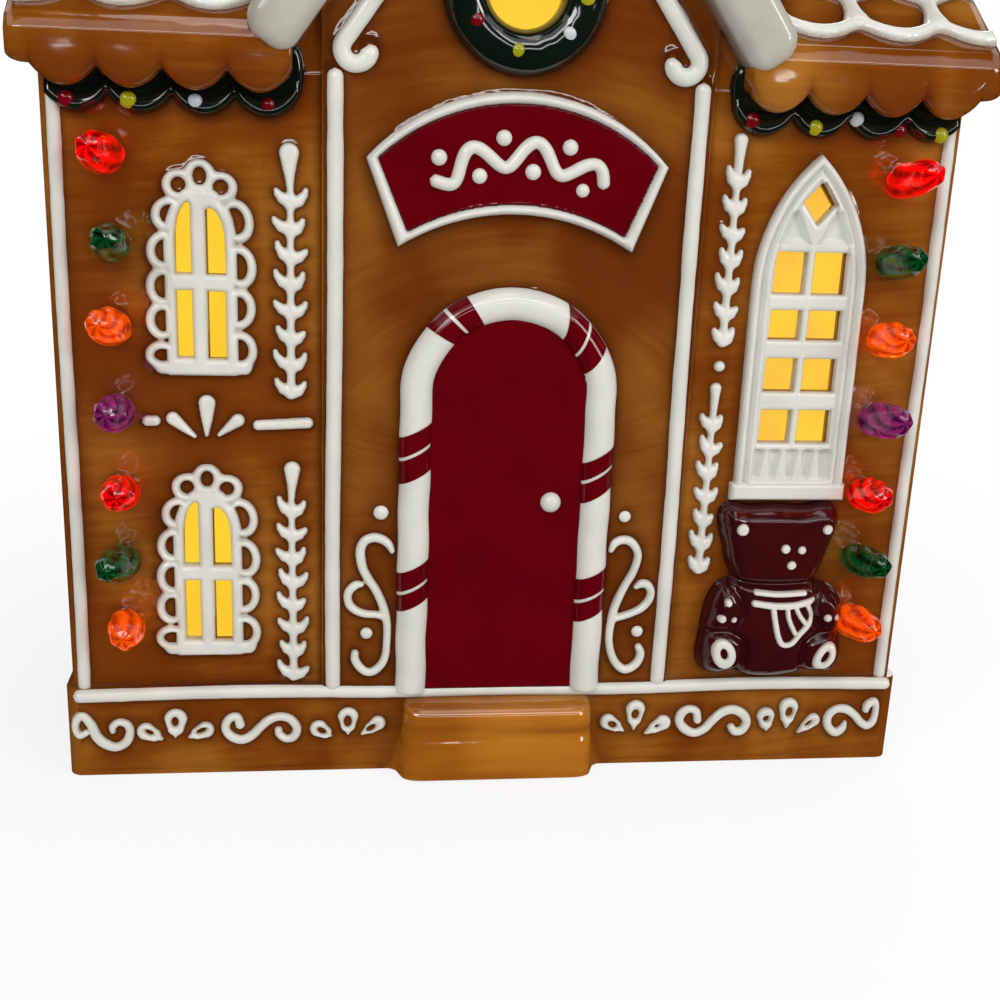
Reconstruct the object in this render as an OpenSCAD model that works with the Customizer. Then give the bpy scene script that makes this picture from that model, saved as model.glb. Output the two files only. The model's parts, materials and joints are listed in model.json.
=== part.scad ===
// A lit village house in glazed ceramic: a hollow casting with piped relief, plastic twist bulbs
// pegged through its front wall and a battery light base in its floor.
// The front looks along -Y, +Z is up and the foot rim stands on Z = 0.

/* [Body] */
// Width over the plinth
base_w = 200; // [170:1:240]
// Depth from the front wall face to the back wall face
wall_depth = 116; // [100:1:150]
// Height of the walls under the eaves
eave_h = 159; // [150:1:180]
// Thickness of the ceramic wall
wall_t = 3.2; // [2.6:0.1:4]
// Height of the plinth
plinth_h = 22; // [18:0.5:26]
// How far the plinth stands out from the walls
plinth_out = 1.5; // [1:0.1:2.5]
// Radius of the upright corners
corner_r = 3; // [2:0.25:5]
// Thickness of the ceramic floor
floor_t = 4; // [3:0.25:6]
// Height of the foot rim under the floor
foot_h = 3.2; // [3:0.1:5]

/* [Bay and gable] */
// Width of the raised bay behind the door and sign
bay_w = 83; // [78:0.5:88]
// How far the bay stands out from the side walls
bay_out = 1.5; // [0.8:0.1:2]
// Height of the gable's ridge above the main ridge
gable_rise = 33.9; // [28:0.1:40]
// Slope of the gable roof in degrees
gable_pitch = 54.5; // [52:0.5:58]
// Thickness of the gable roof
gable_t = 5; // [4:0.25:6]

/* [Main roof] */
// Slope of the main roof in degrees
roof_pitch = 35; // [30:0.5:40]
// Thickness of the main roof
roof_t = 5; // [4:0.25:6]
// Overhang of the eaves in front of the wall
eave_over = 8.5; // [7:0.25:11]
// Overhang of the roof past the end walls
rake_over = 4.5; // [3:0.25:6]
// Height of the eave's thick front edge
fascia_h = 8.5; // [7:0.25:11]
// Depth of the scallops that hang from the eave
drip_h = 4; // [3:0.25:5]
// Width of one eave scallop
scallop_w = 13; // [11:0.25:15]
// Distance from the bay to the front eave's cut ends
eave_clear = 6; // [5:0.25:8]

/* [Barge boards] */
// Width of the white barge boards
barge_w = 11.5; // [9:0.25:13]
// How far the barge boards stand out from the front wall
barge_out = 11; // [9:0.25:14]
// How far the barge boards' feet reach past the eave's cut ends
barge_lap = 10.5; // [9:0.25:12]
// Radius of the barge board's foot
barge_r = 4.5; // [2:0.25:5]
// How far the barge boards rise above the gable roof
barge_rise = 1; // [0.5:0.1:2]

/* [Piping] */
// Width of the corner piping
corner_pipe_w = 2.6; // [2:0.1:3.2]
// Width of the bay's upright piping
bay_pipe_w = 3.3; // [2.6:0.1:3.8]
// Distance of the bay's upright pipes from the bay's edges
bay_pipe_inset = 2.7; // [2.2:0.1:3.5]
// Width of the base piping
base_pipe_w = 2.9; // [2.4:0.1:3.4]
// Width of the gable piping
gable_pipe_w = 3.8; // [3:0.1:4.4]
// Distance of the gable piping's apex below the gable's ridge
gable_pipe_drop = 30; // [26:0.5:34]
// Radius of the curl at the foot of the gable piping
hook_r = 2.9; // [2.5:0.1:3.3]
// How far piped lines stand out
pipe_out = 1.4; // [1:0.1:1.8]

/* [Garlands and wreath] */
// How far the garlands stand out from the wall
garland_out = 3; // [2:0.1:3.5]
// Height of a garland that shows under the eave
garland_h = 9; // [8:0.25:11]
// Radius of a painted berry
berry_r = 1.7; // [1.2:0.1:2]
// Outer radius of the wreath
wreath_r = 17.3; // [15:0.1:19]
// Radius of the round window in the wreath
wreath_hole_r = 7.9; // [7:0.1:9]
// Height of the wreath's centre above the eave
wreath_lift = 18.5; // [17.5:0.25:20]

/* [Sign] */
// Clear bay between the sign's upper corners and the upright piping
sign_clear = 4.95; // [3.5:0.05:7]
// How much farther out the sign's upper corners lie than its lower ones
sign_taper = 6.8; // [5:0.1:8]
// Distance of the sign's upper corners below the eave
sign_drop = 16.2; // [15.8:0.2:19]
// Height of the sign's slanting ends
sign_end_h = 18.1; // [16:0.1:20]
// Rise of the sign's upper edge
sign_rise = 14.3; // [12:0.1:16]
// Rise of the sign's lower edge
sign_foot_rise = 7.4; // [6:0.1:9]
// Width of the sign's border
sign_border_w = 2.9; // [2.4:0.1:3.4]
// How far the sign's border stands out from the bay
sign_out = 3.2; // [2.4:0.1:4]
// How far the sign's field stands out from the bay
sign_field_out = 1.8; // [1.2:0.1:2.2]

/* [Door] */
// Clear bay between the candy cane and the upright piping
door_side = 12.75; // [11:0.25:14]
// Width of the candy cane
cane_w = 7.3; // [6:0.1:8]
// Clear bay between the candy cane's top and the sign
door_drop = 15.7; // [12:0.1:20]
// Thickness of the door panel
door_t = 1.2; // [0.8:0.1:1.6]
// Radius of the door knob
knob_r = 2; // [1.6:0.1:2.4]

/* [Step] */
// How far the step's ends stay inside the candy cane's outer edges
step_inset = 1.1; // [0.5:0.1:3]
// Depth of the door step
step_out = 8; // [6:0.25:10]
// Height of the door step
step_h = 19; // [16:0.25:19]
// Fall of the tread towards its nose
step_fall = 1.7; // [1:0.1:2.5]

/* [Lace windows] */
// Clear wall between a lace window and the bulbs, and between it and the leaf branches
lace_clear = 2.8; // [2:0.1:4]
// How far the lace windows stand out from the middle of the clear wall towards the bulbs
lace_shift = 0.9; // [0:0.1:1.5]
// Height of the lower lace window's sill above the plinth
lace_lift = 8.3; // [7:0.1:10]
// Wall between the two lace windows
lace_gap = 19.7; // [18:0.1:22]
// Distance of the upper lace window's top below the eave
lace_drop = 17; // [15:0.25:19]
// How far the lace windows stand out from the wall
lace_out = 1.8; // [1.4:0.1:2.2]

/* [Tall window] */
// Clear wall between the tall window and the bulbs, and between it and the leaf branches
tall_clear = 1.2; // [0.8:0.1:2.5]
// How far the tall window stands out from the middle of the clear wall towards the bulbs
tall_shift = 0.7; // [0:0.1:0.8]
// Clear wall between the tall window's sill and the bear
tall_lift = 1.4; // [1:0.1:3]
// Clear wall between the tall window's point and the garland
tall_drop = 3.2; // [2:0.1:5]
// How far the tall window's rim stands out from the wall
tall_out = 2.6; // [2:0.1:3.2]
// Width of the tall window's glazing bars
bar_w = 1.6; // [1.3:0.1:2]

/* [Window film] */
// Thickness of the translucent window film
film_t = 0.4; // [0.3:0.05:0.8]
// Thickness of the wall left in front of the film
film_skin = 1.2; // [1:0.1:1.6]

/* [Twist bulbs] */
// Length of a twist bulb in front of the wall
bulb_len = 17; // [14:0.25:19]
// Greatest width of a twist bulb
bulb_w = 9.6; // [8:0.1:11]
// Width of the bulb's peg
peg_w = 4; // [3:0.1:4.5]
// Distance of the bulb rows from the wall's ends
bulb_inset = 13.2; // [12.5:0.1:14]
// Height of the lowest bulb above the plinth
bulb_lift = 16.8; // [16:0.2:19]
// Distance of the highest bulb below the eave
bulb_drop = 16.6; // [15:0.2:18]

/* [Bear] */
// How far the bear's feet reach past the clear wall on each side
bear_reach = 3.25; // [2:0.05:3.5]
// How far the bear stands in from the middle of the clear wall towards the bay
bear_shift = 0.6; // [0.4:0.1:1]
// Height of the bear's seat above the plinth
bear_lift = 2.4; // [2:0.1:3.5]

/* [Piped ornament] */
// Width of a piped stroke
stroke_w = 2.1; // [1.7:0.1:2.4]
// Distance of the leaf branches from the bay
branch_inset = 6.5; // [5.8:0.1:7.5]
// Width of a leaf branch over its leaves
branch_w = 7.4; // [6.4:0.1:8.2]
// Clear bay on each side of a scroll beside the door
scroll_clear = 1.9; // [1.7:0.05:2.5]
// Height of the foot of a scroll beside the door above the plinth
scroll_lift = 3.4; // [2.5:0.1:5]
// Height of a scroll beside the door
scroll_h = 34; // [30:0.5:36]
// Height of a scroll on the plinth
plinth_scroll_h = 8.2; // [7:0.1:9]
// Width of the icing net on the roofs
net_w = 4.2; // [3.4:0.1:5]
// Width of one roof tile in the icing net
tile_w = 18; // [16:0.25:20]
// Length of one roof tile up the slope
tile_h = 15; // [14:0.25:17]
// Sag of one scallop in the icing net
net_sag = 5; // [4:0.25:6]

/* [Light base] */
// Length of a battery cell
cell_len = 50.5; // [49.5:0.1:50.5]
// Diameter of a battery cell
cell_d = 14.3; // [13.5:0.1:14.5]
// Wall of the plastic battery case
case_t = 1.8; // [1.5:0.1:2.4]
// Thickness of the case's flange and of the battery door
flange_t = 2.4; // [2.3:0.1:2.8]
// Gap between the flange and the surface that the house stands on
flange_lift = 0.4; // [0.3:0.1:0.5]
// How far the flange reaches past the case
flange_lap = 4.5; // [3.5:0.25:6]
// Travel of the switch each way from off
switch_travel = 2.2; // [1.5:0.1:2.6]
// Running clearance between parts that move
run_gap = 0.3; // [0.25:0.05:0.4]
// Radius of the battery door's hinge pins
hinge_pin_r = 0.7; // [0.6:0.05:0.75]

/* [Hidden] */
$fn = 48;

// Glaze and plastic colours
brown = [0.55, 0.33, 0.10];
amber = [0.66, 0.42, 0.17];
white = [0.88, 0.89, 0.86];
maroon = [0.36, 0.0, 0.06];
pine = [0.07, 0.15, 0.11];
cocoa = [0.25, 0.07, 0.09];
film_yellow = [1.0, 0.80, 0.20];
bulb_colors = [[0.95, 0.10, 0.05], [0.08, 0.45, 0.22], [1.0, 0.47, 0.05], [0.50, 0.15, 0.43]];
bulb_order = [0, 1, 2, 3, 0, 1, 2];

// One overrun for every cut
over = 1;

// Main places worked out from the sizes
half_w = base_w / 2 - plinth_out;
overall_d = bulb_len + wall_depth + eave_over;
front_y = bulb_len - overall_d / 2;
back_y = front_y + wall_depth;
mid_y = (front_y + back_y) / 2;
half_d = wall_depth / 2;
wall_corner_r = corner_r / 2;
plinth_y = front_y - plinth_out;
bay_y = front_y - bay_out;
roof_half = half_w + rake_over;
fascia_z = eave_h + fascia_h;
ridge_z = fascia_z + (half_d + eave_over) * tan(roof_pitch);
roof_tv = roof_t / cos(roof_pitch);
gable_tv = gable_t / cos(gable_pitch);
gable_slope = tan(gable_pitch);
barge_tv = barge_w / cos(gable_pitch);
gable_ridge_h = ridge_z + gable_rise;
barge_top_z = gable_ridge_h + barge_rise / cos(gable_pitch);
bay_half = bay_w / 2;
eave_gap = bay_half + eave_clear;
barge_len = (eave_gap + barge_lap) / cos(gable_pitch);
bay_pipe_x = bay_half - bay_pipe_inset;
gable_pipe_h = gable_ridge_h - gable_pipe_drop;
wreath_z = eave_h + wreath_lift;

// The bay's width between its upright pipes, and what it holds
bay_clear = bay_pipe_x - bay_pipe_w / 2;
sign_top_half = bay_clear - sign_clear;
sign_foot_half = sign_top_half - sign_taper;
sign_shoulder_z = eave_h - sign_drop;
sign_foot_z = sign_shoulder_z - sign_end_h;
cane_r = bay_clear - door_side;
door_spring_z = sign_foot_z + sign_foot_rise - door_drop - cane_r;
step_w = 2 * (cane_r - step_inset);
scroll_w = door_side - 2 * scroll_clear;

// The wall beside the bay: leaf branches, clear wall for windows and bear, bulbs
branch_x = bay_half + branch_inset;
bulb_x = half_w - bulb_inset;
bulb_foot_z = plinth_h + bulb_lift;
bulb_top_z = eave_h - bulb_drop;
clear_w = bulb_x - bulb_w / 2 - branch_x - branch_w / 2;
clear_mid = branch_x + branch_w / 2 + clear_w / 2;
lace_w = clear_w - 2 * lace_clear;
lace_x = clear_mid + lace_shift;
lace_h = (eave_h - lace_drop - lace_gap - lace_lift - plinth_h) / 2;
lace_lower_z = plinth_h + lace_lift;
lace_upper_z = eave_h - lace_drop - lace_h;
bear_w_share = 0.84;
bear_h = (clear_w + 2 * bear_reach) / bear_w_share;
bear_x = clear_mid - bear_shift;
bear_z = plinth_h + bear_lift;
tall_w = clear_w - 2 * tall_clear;
tall_x = clear_mid + tall_shift;
tall_z = bear_z + bear_h + tall_lift;
tall_h = eave_h - garland_h - tall_drop - tall_z;

round_film_r = wreath_hole_r + 2 * film_skin;
cane_mid_r = cane_r - cane_w / 2;
cane_tube_r = cane_w / 2;
door_half = cane_r - cane_w;
pipe_line_z = plinth_h - base_pipe_w / 2;
bulb_z_shares = [1, 0.827, 0.659, 0.480, 0.308, 0.150, 0];

// Curves that a piped line follows
function unit(v) = v / norm(v);
function left_of(v) = [-v[1], v[0]];
function arc(c, r, a0, a1, n) =
    [for (i = [0:n]) let (a = a0 + (a1 - a0) * i / n) c + r * [cos(a), sin(a)]];
function flip_x(p) = [for (q = p) [-q[0], q[1]]];
function reversed(p) = [for (i = [len(p) - 1:-1:0]) p[i]];
function heading(p, i) = unit(p[min(i + 1, len(p) - 1)] - p[max(i - 1, 0)]);
function spline(p, i, t) =
    let (a = p[max(i - 1, 0)], b = p[i], c = p[i + 1], d = p[min(i + 2, len(p) - 1)])
    b + ((c - a) * t + (2 * a - 5 * b + 4 * c - d) * t * t + (3 * b - a - 3 * c + d) * t * t * t) / 2;
function smooth(p, n) = [for (i = [0:len(p) - 2]) for (k = [0:n - 1]) spline(p, i, k / n), p[len(p) - 1]];
function placed(shares, w, h) = [for (s = shares) [s[0] * w, s[1] * h]];
function cap(c, v, w) = [for (a = [60, 20, -20, -60]) c + w / 2 * (cos(a) * v + sin(a) * left_of(v))];
function outline(p, w) = concat(
    [for (i = [0:len(p) - 1]) p[i] + w / 2 * left_of(heading(p, i))],
    cap(p[len(p) - 1], heading(p, len(p) - 1), w),
    [for (i = [len(p) - 1:-1:0]) p[i] - w / 2 * left_of(heading(p, i))],
    cap(p[0], -heading(p, 0), w));

// A flat shape drawn as seen from the front, standing out of a face
module relief(y, t) {
    translate([0, y, 0])
        rotate([90, 0, 0])
            linear_extrude(height = t)
                children();
}

// A piped stroke with a narrower crest
module piped(p, w, t) {
    linear_extrude(height = t * 0.6)
        polygon(outline(p, w));
    linear_extrude(height = t)
        polygon(outline(p, w * 0.62));
}

module on_face(y) {
    translate([0, y, 0])
        rotate([90, 0, 0])
            children();
}

// A straight half round line of piping that rises from its foot
module upright_pipe(w, h) {
    linear_extrude(height = h)
        intersection() {
            circle(d = w);
            translate([-w / 2, -w])
                square([w, w]);
        }
}

module both_sides() {
    children();
    mirror([1, 0, 0])
        children();
}

function round_rect(w, h, r) = concat(
    arc([w / 2 - r, h / 2 - r], r, 0, 90, 6), arc([r - w / 2, h / 2 - r], r, 90, 180, 6),
    arc([r - w / 2, r - h / 2], r, 180, 270, 6), arc([w / 2 - r, r - h / 2], r, 270, 360, 6));

// Outlines of the roofs, seen from the end and from the front
function roof_rise(y) = ridge_z - abs(y) * tan(roof_pitch);
fascia_r = fascia_h / 3;
fascia_mid = [fascia_r - half_d - eave_over, fascia_z + fascia_r * (tan(roof_pitch) - 1 / cos(roof_pitch))];
fascia_edge = arc(fascia_mid, fascia_r, 180, 90 + roof_pitch, 5);
main_roof_outer = concat([[-half_d - eave_over, eave_h]], fascia_edge, [[0, ridge_z]],
    flip_x(reversed(fascia_edge)), [[half_d + eave_over, eave_h]]);
attic_half = half_d - wall_t;
main_roof_inner = [[-attic_half, eave_h], [-attic_half, roof_rise(attic_half) - roof_tv],
    [0, ridge_z - roof_tv], [attic_half, roof_rise(attic_half) - roof_tv], [attic_half, eave_h]];
function gable_outline(top, foot) =
    let (half = (top - foot) / gable_slope)
    [[-half, foot], [0, top], [half, foot]];
gable_outer = gable_outline(gable_ridge_h, eave_h);
gable_inner = gable_outline(gable_ridge_h - gable_tv, eave_h);

// A profile drawn in Y and Z, drawn out along X
module along_x(x0, x1) {
    translate([x0, mid_y, 0])
        rotate([90, 0, 90])
            linear_extrude(height = x1 - x0)
                children();
}

// A profile drawn in X and Z, drawn out along Y
module along_y(y0, y1) {
    translate([0, y1, 0])
        rotate([90, 0, 0])
            linear_extrude(height = y1 - y0)
                children();
}

// The battery case's sizes, worked out from its cells
cell_gap = 0.5;
spring_len = 5;
plate_t = 0.6;
bay_x = cell_len + spring_len + 2 * run_gap + 2 * plate_t;
bay_d = 3 * cell_d + 4 * cell_gap;
switch_bay_w = 9;
case_w = bay_x + switch_bay_w + 3 * case_t;
case_d = bay_d + 2 * case_t;
bay_x0 = case_t - case_w / 2;
door_sink = 0.1;
door_z0 = flange_lift + door_sink;
cell_z = flange_lift + flange_t + cell_gap + cell_d / 2;
case_top = cell_z + cell_d / 2 + cell_gap + case_t;
case_r = 2;
barrel_r = flange_t / 2 - door_sink;
hinge_y = mid_y - bay_d / 2 + run_gap + barrel_r;
hinge_z = door_z0 + barrel_r;
pin_len = 1.3;
pin_gap = 0.08;
switch_x = bay_x0 + bay_x + case_t + switch_bay_w / 2;
slot_w = 4;
knob_w = slot_w - 2 * run_gap;
knob_len = 4.6;
slot_len = knob_len + 2 * switch_travel + 2 * run_gap;

// Openings in the front wall

// Shares of the lace window's width and height
lace_pane_half_share = 0.225;
lace_bar_share = 0.065;
lace_lower_shares = [0.075, 0.40];
lace_upper_shares = [0.47, 0.83];
lace_body_share = 0.31;

// The lower panes are upright oblongs, and the upper ones rise to a shared point
lace_shoulder_share = 0.4;
module lace_pane(s) {
    bar = lace_bar_share * lace_w;
    edge = lace_pane_half_share * lace_w;
    foot = lace_upper_shares[0] * lace_h;
    rise = (lace_upper_shares[1] - lace_upper_shares[0]) * lace_h;
    scale([s, 1]) {
        translate([bar, lace_lower_shares[0] * lace_h])
            square([edge - bar, (lace_lower_shares[1] - lace_lower_shares[0]) * lace_h]);
        polygon(concat([[bar, foot], [edge, foot]],
            [for (a = [15:15:90]) [edge * cos(a) + bar * (1 - cos(a)),
                foot + rise * (lace_shoulder_share + (1 - lace_shoulder_share) * sin(a))]]));
    }
}

module lace_panes() {
    lace_pane(1);
    lace_pane(-1);
}

// Rows of the tall window's panes, as shares of its height
tall_row_shares = [[0.175, 0.275], [0.33, 0.427], [0.482, 0.567], [0.612, 0.73]];
tall_pane_share = 0.30;
tall_blind_shares = [[0.09, 0.757], [0.62, 0.757], [0.40, 0.848]];
tall_diamond_shares = [0.79, 0.928, 0.149];
tall_shoulder_share = 0.66;

module tall_panes() {
    edge = tall_pane_share * tall_w;
    both_sides()
        for (r = tall_row_shares)
            translate([bar_w / 2, r[0] * tall_h])
                square([edge - bar_w / 2, (r[1] - r[0]) * tall_h]);
    rise = (tall_diamond_shares[1] - tall_diamond_shares[0]) * tall_h / 2;
    half = tall_diamond_shares[2] * tall_w;
    translate([0, (tall_diamond_shares[0] + tall_diamond_shares[1]) / 2 * tall_h])
        polygon([[0, -rise], [half, 0], [0, rise], [-half, 0]]);
}

// The film's pocket behind a window: its width, height and foot as shares of the window's size
lace_pocket_shares = [0.66, 0.82, 0.05];
tall_pocket_shares = [0.74, 0.83, 0.14];

module film_pocket(w, h, shares, grow) {
    translate([-w / 2 * shares[0] - grow, shares[2] * h - grow])
        square([w * shares[0] + 2 * grow, h * shares[1] + 2 * grow]);
}

module lace_pocket(grow) {
    film_pocket(lace_w, lace_h, lace_pocket_shares, grow);
}

module tall_pocket(grow) {
    film_pocket(tall_w, tall_h, tall_pocket_shares, grow);
}

module at_lace(z) {
    translate([-lace_x, z])
        children();
}

module at_tall() {
    translate([tall_x, tall_z])
        children();
}

function bulb_z(i) = bulb_foot_z + (bulb_top_z - bulb_foot_z) * bulb_z_shares[i];

module bulb_holes() {
    for (s = [-1, 1])
        for (i = [0:6])
            translate([s * bulb_x, front_y + wall_t + over, bulb_z(i)])
                rotate([90, 0, 0])
                    cylinder(d = peg_w + pin_gap * 2, h = wall_t + 2 * over);
}

// The hollow casting: plinth, walls, gables and floor
module house_walls() {
    color(brown)
        difference() {
            union() {
                translate([0, mid_y, 0])
                    linear_extrude(height = plinth_h)
                        polygon(round_rect(base_w, wall_depth + 2 * plinth_out, corner_r));
                translate([0, mid_y, 0])
                    linear_extrude(height = eave_h)
                        polygon(round_rect(2 * half_w, wall_depth, wall_corner_r));
                along_x(-half_w, wall_t - half_w)
                    polygon(main_roof_inner);
                along_x(half_w - wall_t, half_w)
                    polygon(main_roof_inner);
                along_y(front_y, front_y + wall_t)
                    polygon(gable_inner);
                along_y(back_y - wall_t, back_y)
                    polygon(gable_inner);
                bay_panel();
            }
            translate([0, mid_y, foot_h + floor_t])
                linear_extrude(height = eave_h)
                    polygon(round_rect(2 * (half_w - wall_t), wall_depth - 2 * wall_t, corner_r));
            translate([0, mid_y, -over])
                linear_extrude(height = foot_h + over)
                    polygon(round_rect(2 * (half_w - 2 * wall_t), wall_depth - 4 * wall_t, corner_r));
            translate([0, mid_y, 0])
                linear_extrude(height = foot_h + floor_t + over)
                    polygon(round_rect(case_w + 2 * run_gap, case_d + 2 * run_gap, case_r));
            front_openings();
            bulb_holes();
        }
}

// The raised bay stops at the barge boards' inner edge
module bay_panel() {
    slope_z = barge_top_z - barge_tv;
    relief(front_y, bay_out)
        polygon([[-bay_half, plinth_h], [-bay_half, slope_z - bay_half * gable_slope], [0, slope_z],
            [bay_half, slope_z - bay_half * gable_slope], [bay_half, plinth_h]]);
}

module front_openings() {
    depth = wall_t + bay_out + 2 * over;
    for (z = [lace_upper_z, lace_lower_z]) {
        relief(front_y + wall_t + over, depth)
            at_lace(z)
                lace_panes();
        relief(front_y + wall_t + over, wall_t - film_skin + over)
            at_lace(z)
                lace_pocket(0);
    }
    relief(front_y + wall_t + over, depth)
        at_tall()
            tall_panes();
    relief(front_y + wall_t + over, wall_t - film_skin + over)
        at_tall()
            tall_pocket(0);
    translate([0, front_y + wall_t + over, wreath_z])
        rotate([90, 0, 0]) {
            cylinder(r = wreath_hole_r, h = depth);
            cylinder(r = round_film_r, h = wall_t - film_skin + over);
        }
}

// Row of scallops along the eave, as an outline from x0 to x1 that hangs from a flat top
function scallops(x0, x1, w, top, hang, foot) =
    let (n = max(1, round((x1 - x0) / w)), p = (x1 - x0) / n)
    concat([[x0, top]],
        [for (i = [0:n - 1]) for (k = [(i == 0 ? 0 : 1):6])
            [x0 + p * (i + k / 6), hang - (hang - foot) * sin(180 * k / 6)]],
        [[x1, top]]);

drip_t = 4.6;
module main_roof() {
    color(brown)
        difference() {
            union() {
                along_x(-roof_half, roof_half)
                    polygon(main_roof_outer);
                both_sides()
                    drip_edge(front_y - eave_over + drip_t, eave_gap);
                relief(back_y + eave_over, drip_t)
                    polygon(scallops(-half_w, half_w, scallop_w, eave_h + over, eave_h, eave_h - drip_h));
            }
            along_x(-roof_half - over, roof_half + over)
                polygon(main_roof_inner);
            along_y(front_y, back_y)
                polygon(gable_outline(gable_ridge_h - gable_tv, eave_h));
            // The eave leaves the bay clear and lets the barge boards pass
            translate([-eave_gap, front_y - eave_over - over, eave_h - drip_h - over])
                cube([2 * eave_gap, eave_over + over, gable_ridge_h]);
            barge_pair(front_y, barge_out + over);
        }
}

module drip_edge(y, x0) {
    relief(y, drip_t)
        polygon(scallops(x0, half_w, scallop_w, eave_h + over, eave_h, eave_h - drip_h));
}

module gable_roof() {
    color(brown)
        difference() {
            along_y(front_y, back_y + eave_over)
                polygon(gable_outer);
            along_y(front_y - over, back_y + eave_over + over)
                polygon(gable_inner);
            along_x(-roof_half, roof_half)
                polygon(main_roof_outer);
        }
}

// One barge board in outline, to the right of the middle
module barge_outline() {
    intersection() {
        translate([0, barge_top_z])
            rotate([0, 0, -gable_pitch])
                polygon(concat([[-barge_len / 4, 0], [-barge_len / 4, -barge_w]],
                    arc([barge_len - barge_r, barge_r - barge_w], barge_r, 270, 360, 5),
                    arc([barge_len - barge_r, -barge_r], barge_r, 0, 90, 5)));
        square([base_w, 2 * gable_ridge_h]);
    }
}

module barge_pair(y, t) {
    both_sides()
        relief(y, t)
            barge_outline();
}

module barge_board() {
    relief(front_y, barge_out)
        barge_outline();
}

module barge_board_left() {
    color(white)
        mirror([1, 0, 0])
            barge_board();
}

module barge_board_right() {
    color(white)
        barge_board();
}

// The icing net: rows of scallops on a slope, drawn flat with U up the slope, and joined by bars
net_u0 = net_w * 2.9;
slope_len = (half_d + eave_over) / cos(roof_pitch);
net_rows = floor((slope_len - net_u0) / tile_h) + 1;
function net_u(r) = net_u0 + tile_h * r;
function net_shift(r) = tile_w * (r % 2) / 2;
function gable_x(u) = (barge_top_z - fascia_z - u * sin(roof_pitch)) / gable_slope;
function net_first(r) = floor((gable_x(net_u(r)) - net_shift(r)) / tile_w);
function net_last() = ceil(roof_half / tile_w);
function net_line(r) = [for (k = [net_first(r):net_last()]) for (i = [0:5])
    [net_shift(r) + tile_w * (k + i / 6), net_u(r) - net_sag * sin(30 * i)]];

module icing_net() {
    linear_extrude(height = pipe_out)
        intersection() {
            union() {
                for (r = [0:net_rows - 1]) {
                    polygon(outline(net_line(r), net_w));
                    for (k = [net_first(r):net_last()])
                        translate([net_shift(r) + tile_w * k - net_w * 0.4, net_u(r)])
                            square([net_w * 0.8, min(tile_h - net_sag, slope_len - net_u(r) - net_w)]);
                }
                translate([0, slope_len - net_w * 1.5])
                    square([roof_half, net_w]);
            }
            square([roof_half - net_w / 3, slope_len]);
        }
}

module roof_icing() {
    color(white)
        difference() {
            translate([0, mid_y, 0])
                for (t = [0, 180])
                    rotate([0, 0, t])
                        both_sides()
                            translate([0, -half_d - eave_over, fascia_z])
                                rotate([roof_pitch, 0, 0])
                                    icing_net();
            along_y(front_y - eave_over - over, back_y + eave_over + over)
                polygon(gable_outline(barge_top_z, eave_h));
        }
}

module corner_piping() {
    color(white)
        for (t = [0, 180])
            translate([0, mid_y, 0])
                rotate([0, 0, t])
                    both_sides()
                        translate([half_w - wall_corner_r - corner_pipe_w / 2, -half_d, plinth_h])
                            upright_pipe(corner_pipe_w, eave_h - garland_h - plinth_h);
}

module base_piping() {
    color(white)
        translate([0, plinth_y, pipe_line_z])
            rotate([0, 90, 0])
                translate([0, 0, corner_r - base_w / 2])
                    upright_pipe(base_pipe_w, base_w - 2 * corner_r);
}

// The gable line runs down the slope and curls in at its foot
function gable_line() =
    let (c = [bay_pipe_x - hook_r - gable_pipe_w / 3, gable_foot_z()])
    concat([[0, gable_pipe_h]], arc(c, hook_r, 90 - gable_pitch, -185, 14));
function gable_foot_z() =
    let (x = bay_pipe_x - hook_r - gable_pipe_w / 3)
    gable_pipe_h - (x + hook_r * sin(gable_pitch)) * gable_slope - hook_r * cos(gable_pitch);

module bay_piping() {
    color(white)
        both_sides() {
            translate([bay_pipe_x, bay_y, plinth_h])
                upright_pipe(bay_pipe_w, gable_foot_z() - hook_r - gable_pipe_w - plinth_h);
            on_face(bay_y)
                piped(gable_line(), gable_pipe_w, pipe_out * 1.3);
        }
}

garland_x0 = eave_gap - garland_out / 6;
garland_x1 = half_w - wall_corner_r;
module garland(x0) {
    relief(front_y, garland_out)
        polygon(scallops(x0, garland_x1, scallop_w, eave_h, eave_h - garland_h * 0.66, eave_h - garland_h));
}

module garland_right() {
    color(pine)
        garland(garland_x0);
}

module garland_left() {
    color(pine)
        mirror([1, 0, 0])
            garland(garland_x0);
}

// Side, and place as a share of the garland's run
garland_berry_shares = [[-1, 0.912], [-1, 0.668], [-1, 0.402], [-1, 0.108],
    [1, 0.059], [1, 0.34], [1, 0.522], [1, 0.723], [1, 0.91]];
function on_garland(s) =
    [s[0] * (garland_x0 + s[1] * (garland_x1 - garland_x0)), eave_h - garland_h * 0.7, 0];
module berry_dome(r) {
    difference() {
        sphere(r = r);
        translate([-2 * r, -2 * r, -2 * r])
            cube([4 * r, 4 * r, 2 * r]);
    }
}

module garland_berries() {
    color([0.8, 0.75, 0.2])
        on_face(front_y - garland_out)
            for (s = garland_berry_shares)
                translate(on_garland(s))
                    berry_dome(berry_r);
}

wreath_mid_r = (wreath_r + wreath_hole_r) / 2;
wreath_tube_r = (wreath_r - wreath_hole_r) / 2;
module wreath() {
    color(pine)
        translate([0, bay_y, wreath_z])
            rotate([90, 0, 0])
                rotate_extrude()
                    translate([wreath_mid_r, 0])
                        intersection() {
                            circle(r = wreath_tube_r);
                            translate([-wreath_tube_r, 0])
                                square([2 * wreath_tube_r, wreath_tube_r]);
                        }
}

module wreath_berries() {
    color([0.8, 0.75, 0.2])
        difference() {
            translate([0, bay_y, wreath_z])
                rotate([90, 0, 0])
                    for (a = [32:45:347])
                        rotate([0, 0, a])
                            translate([wreath_mid_r, 0, wreath_tube_r - berry_r / 4])
                                sphere(r = berry_r);
            wreath();
        }
}

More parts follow.
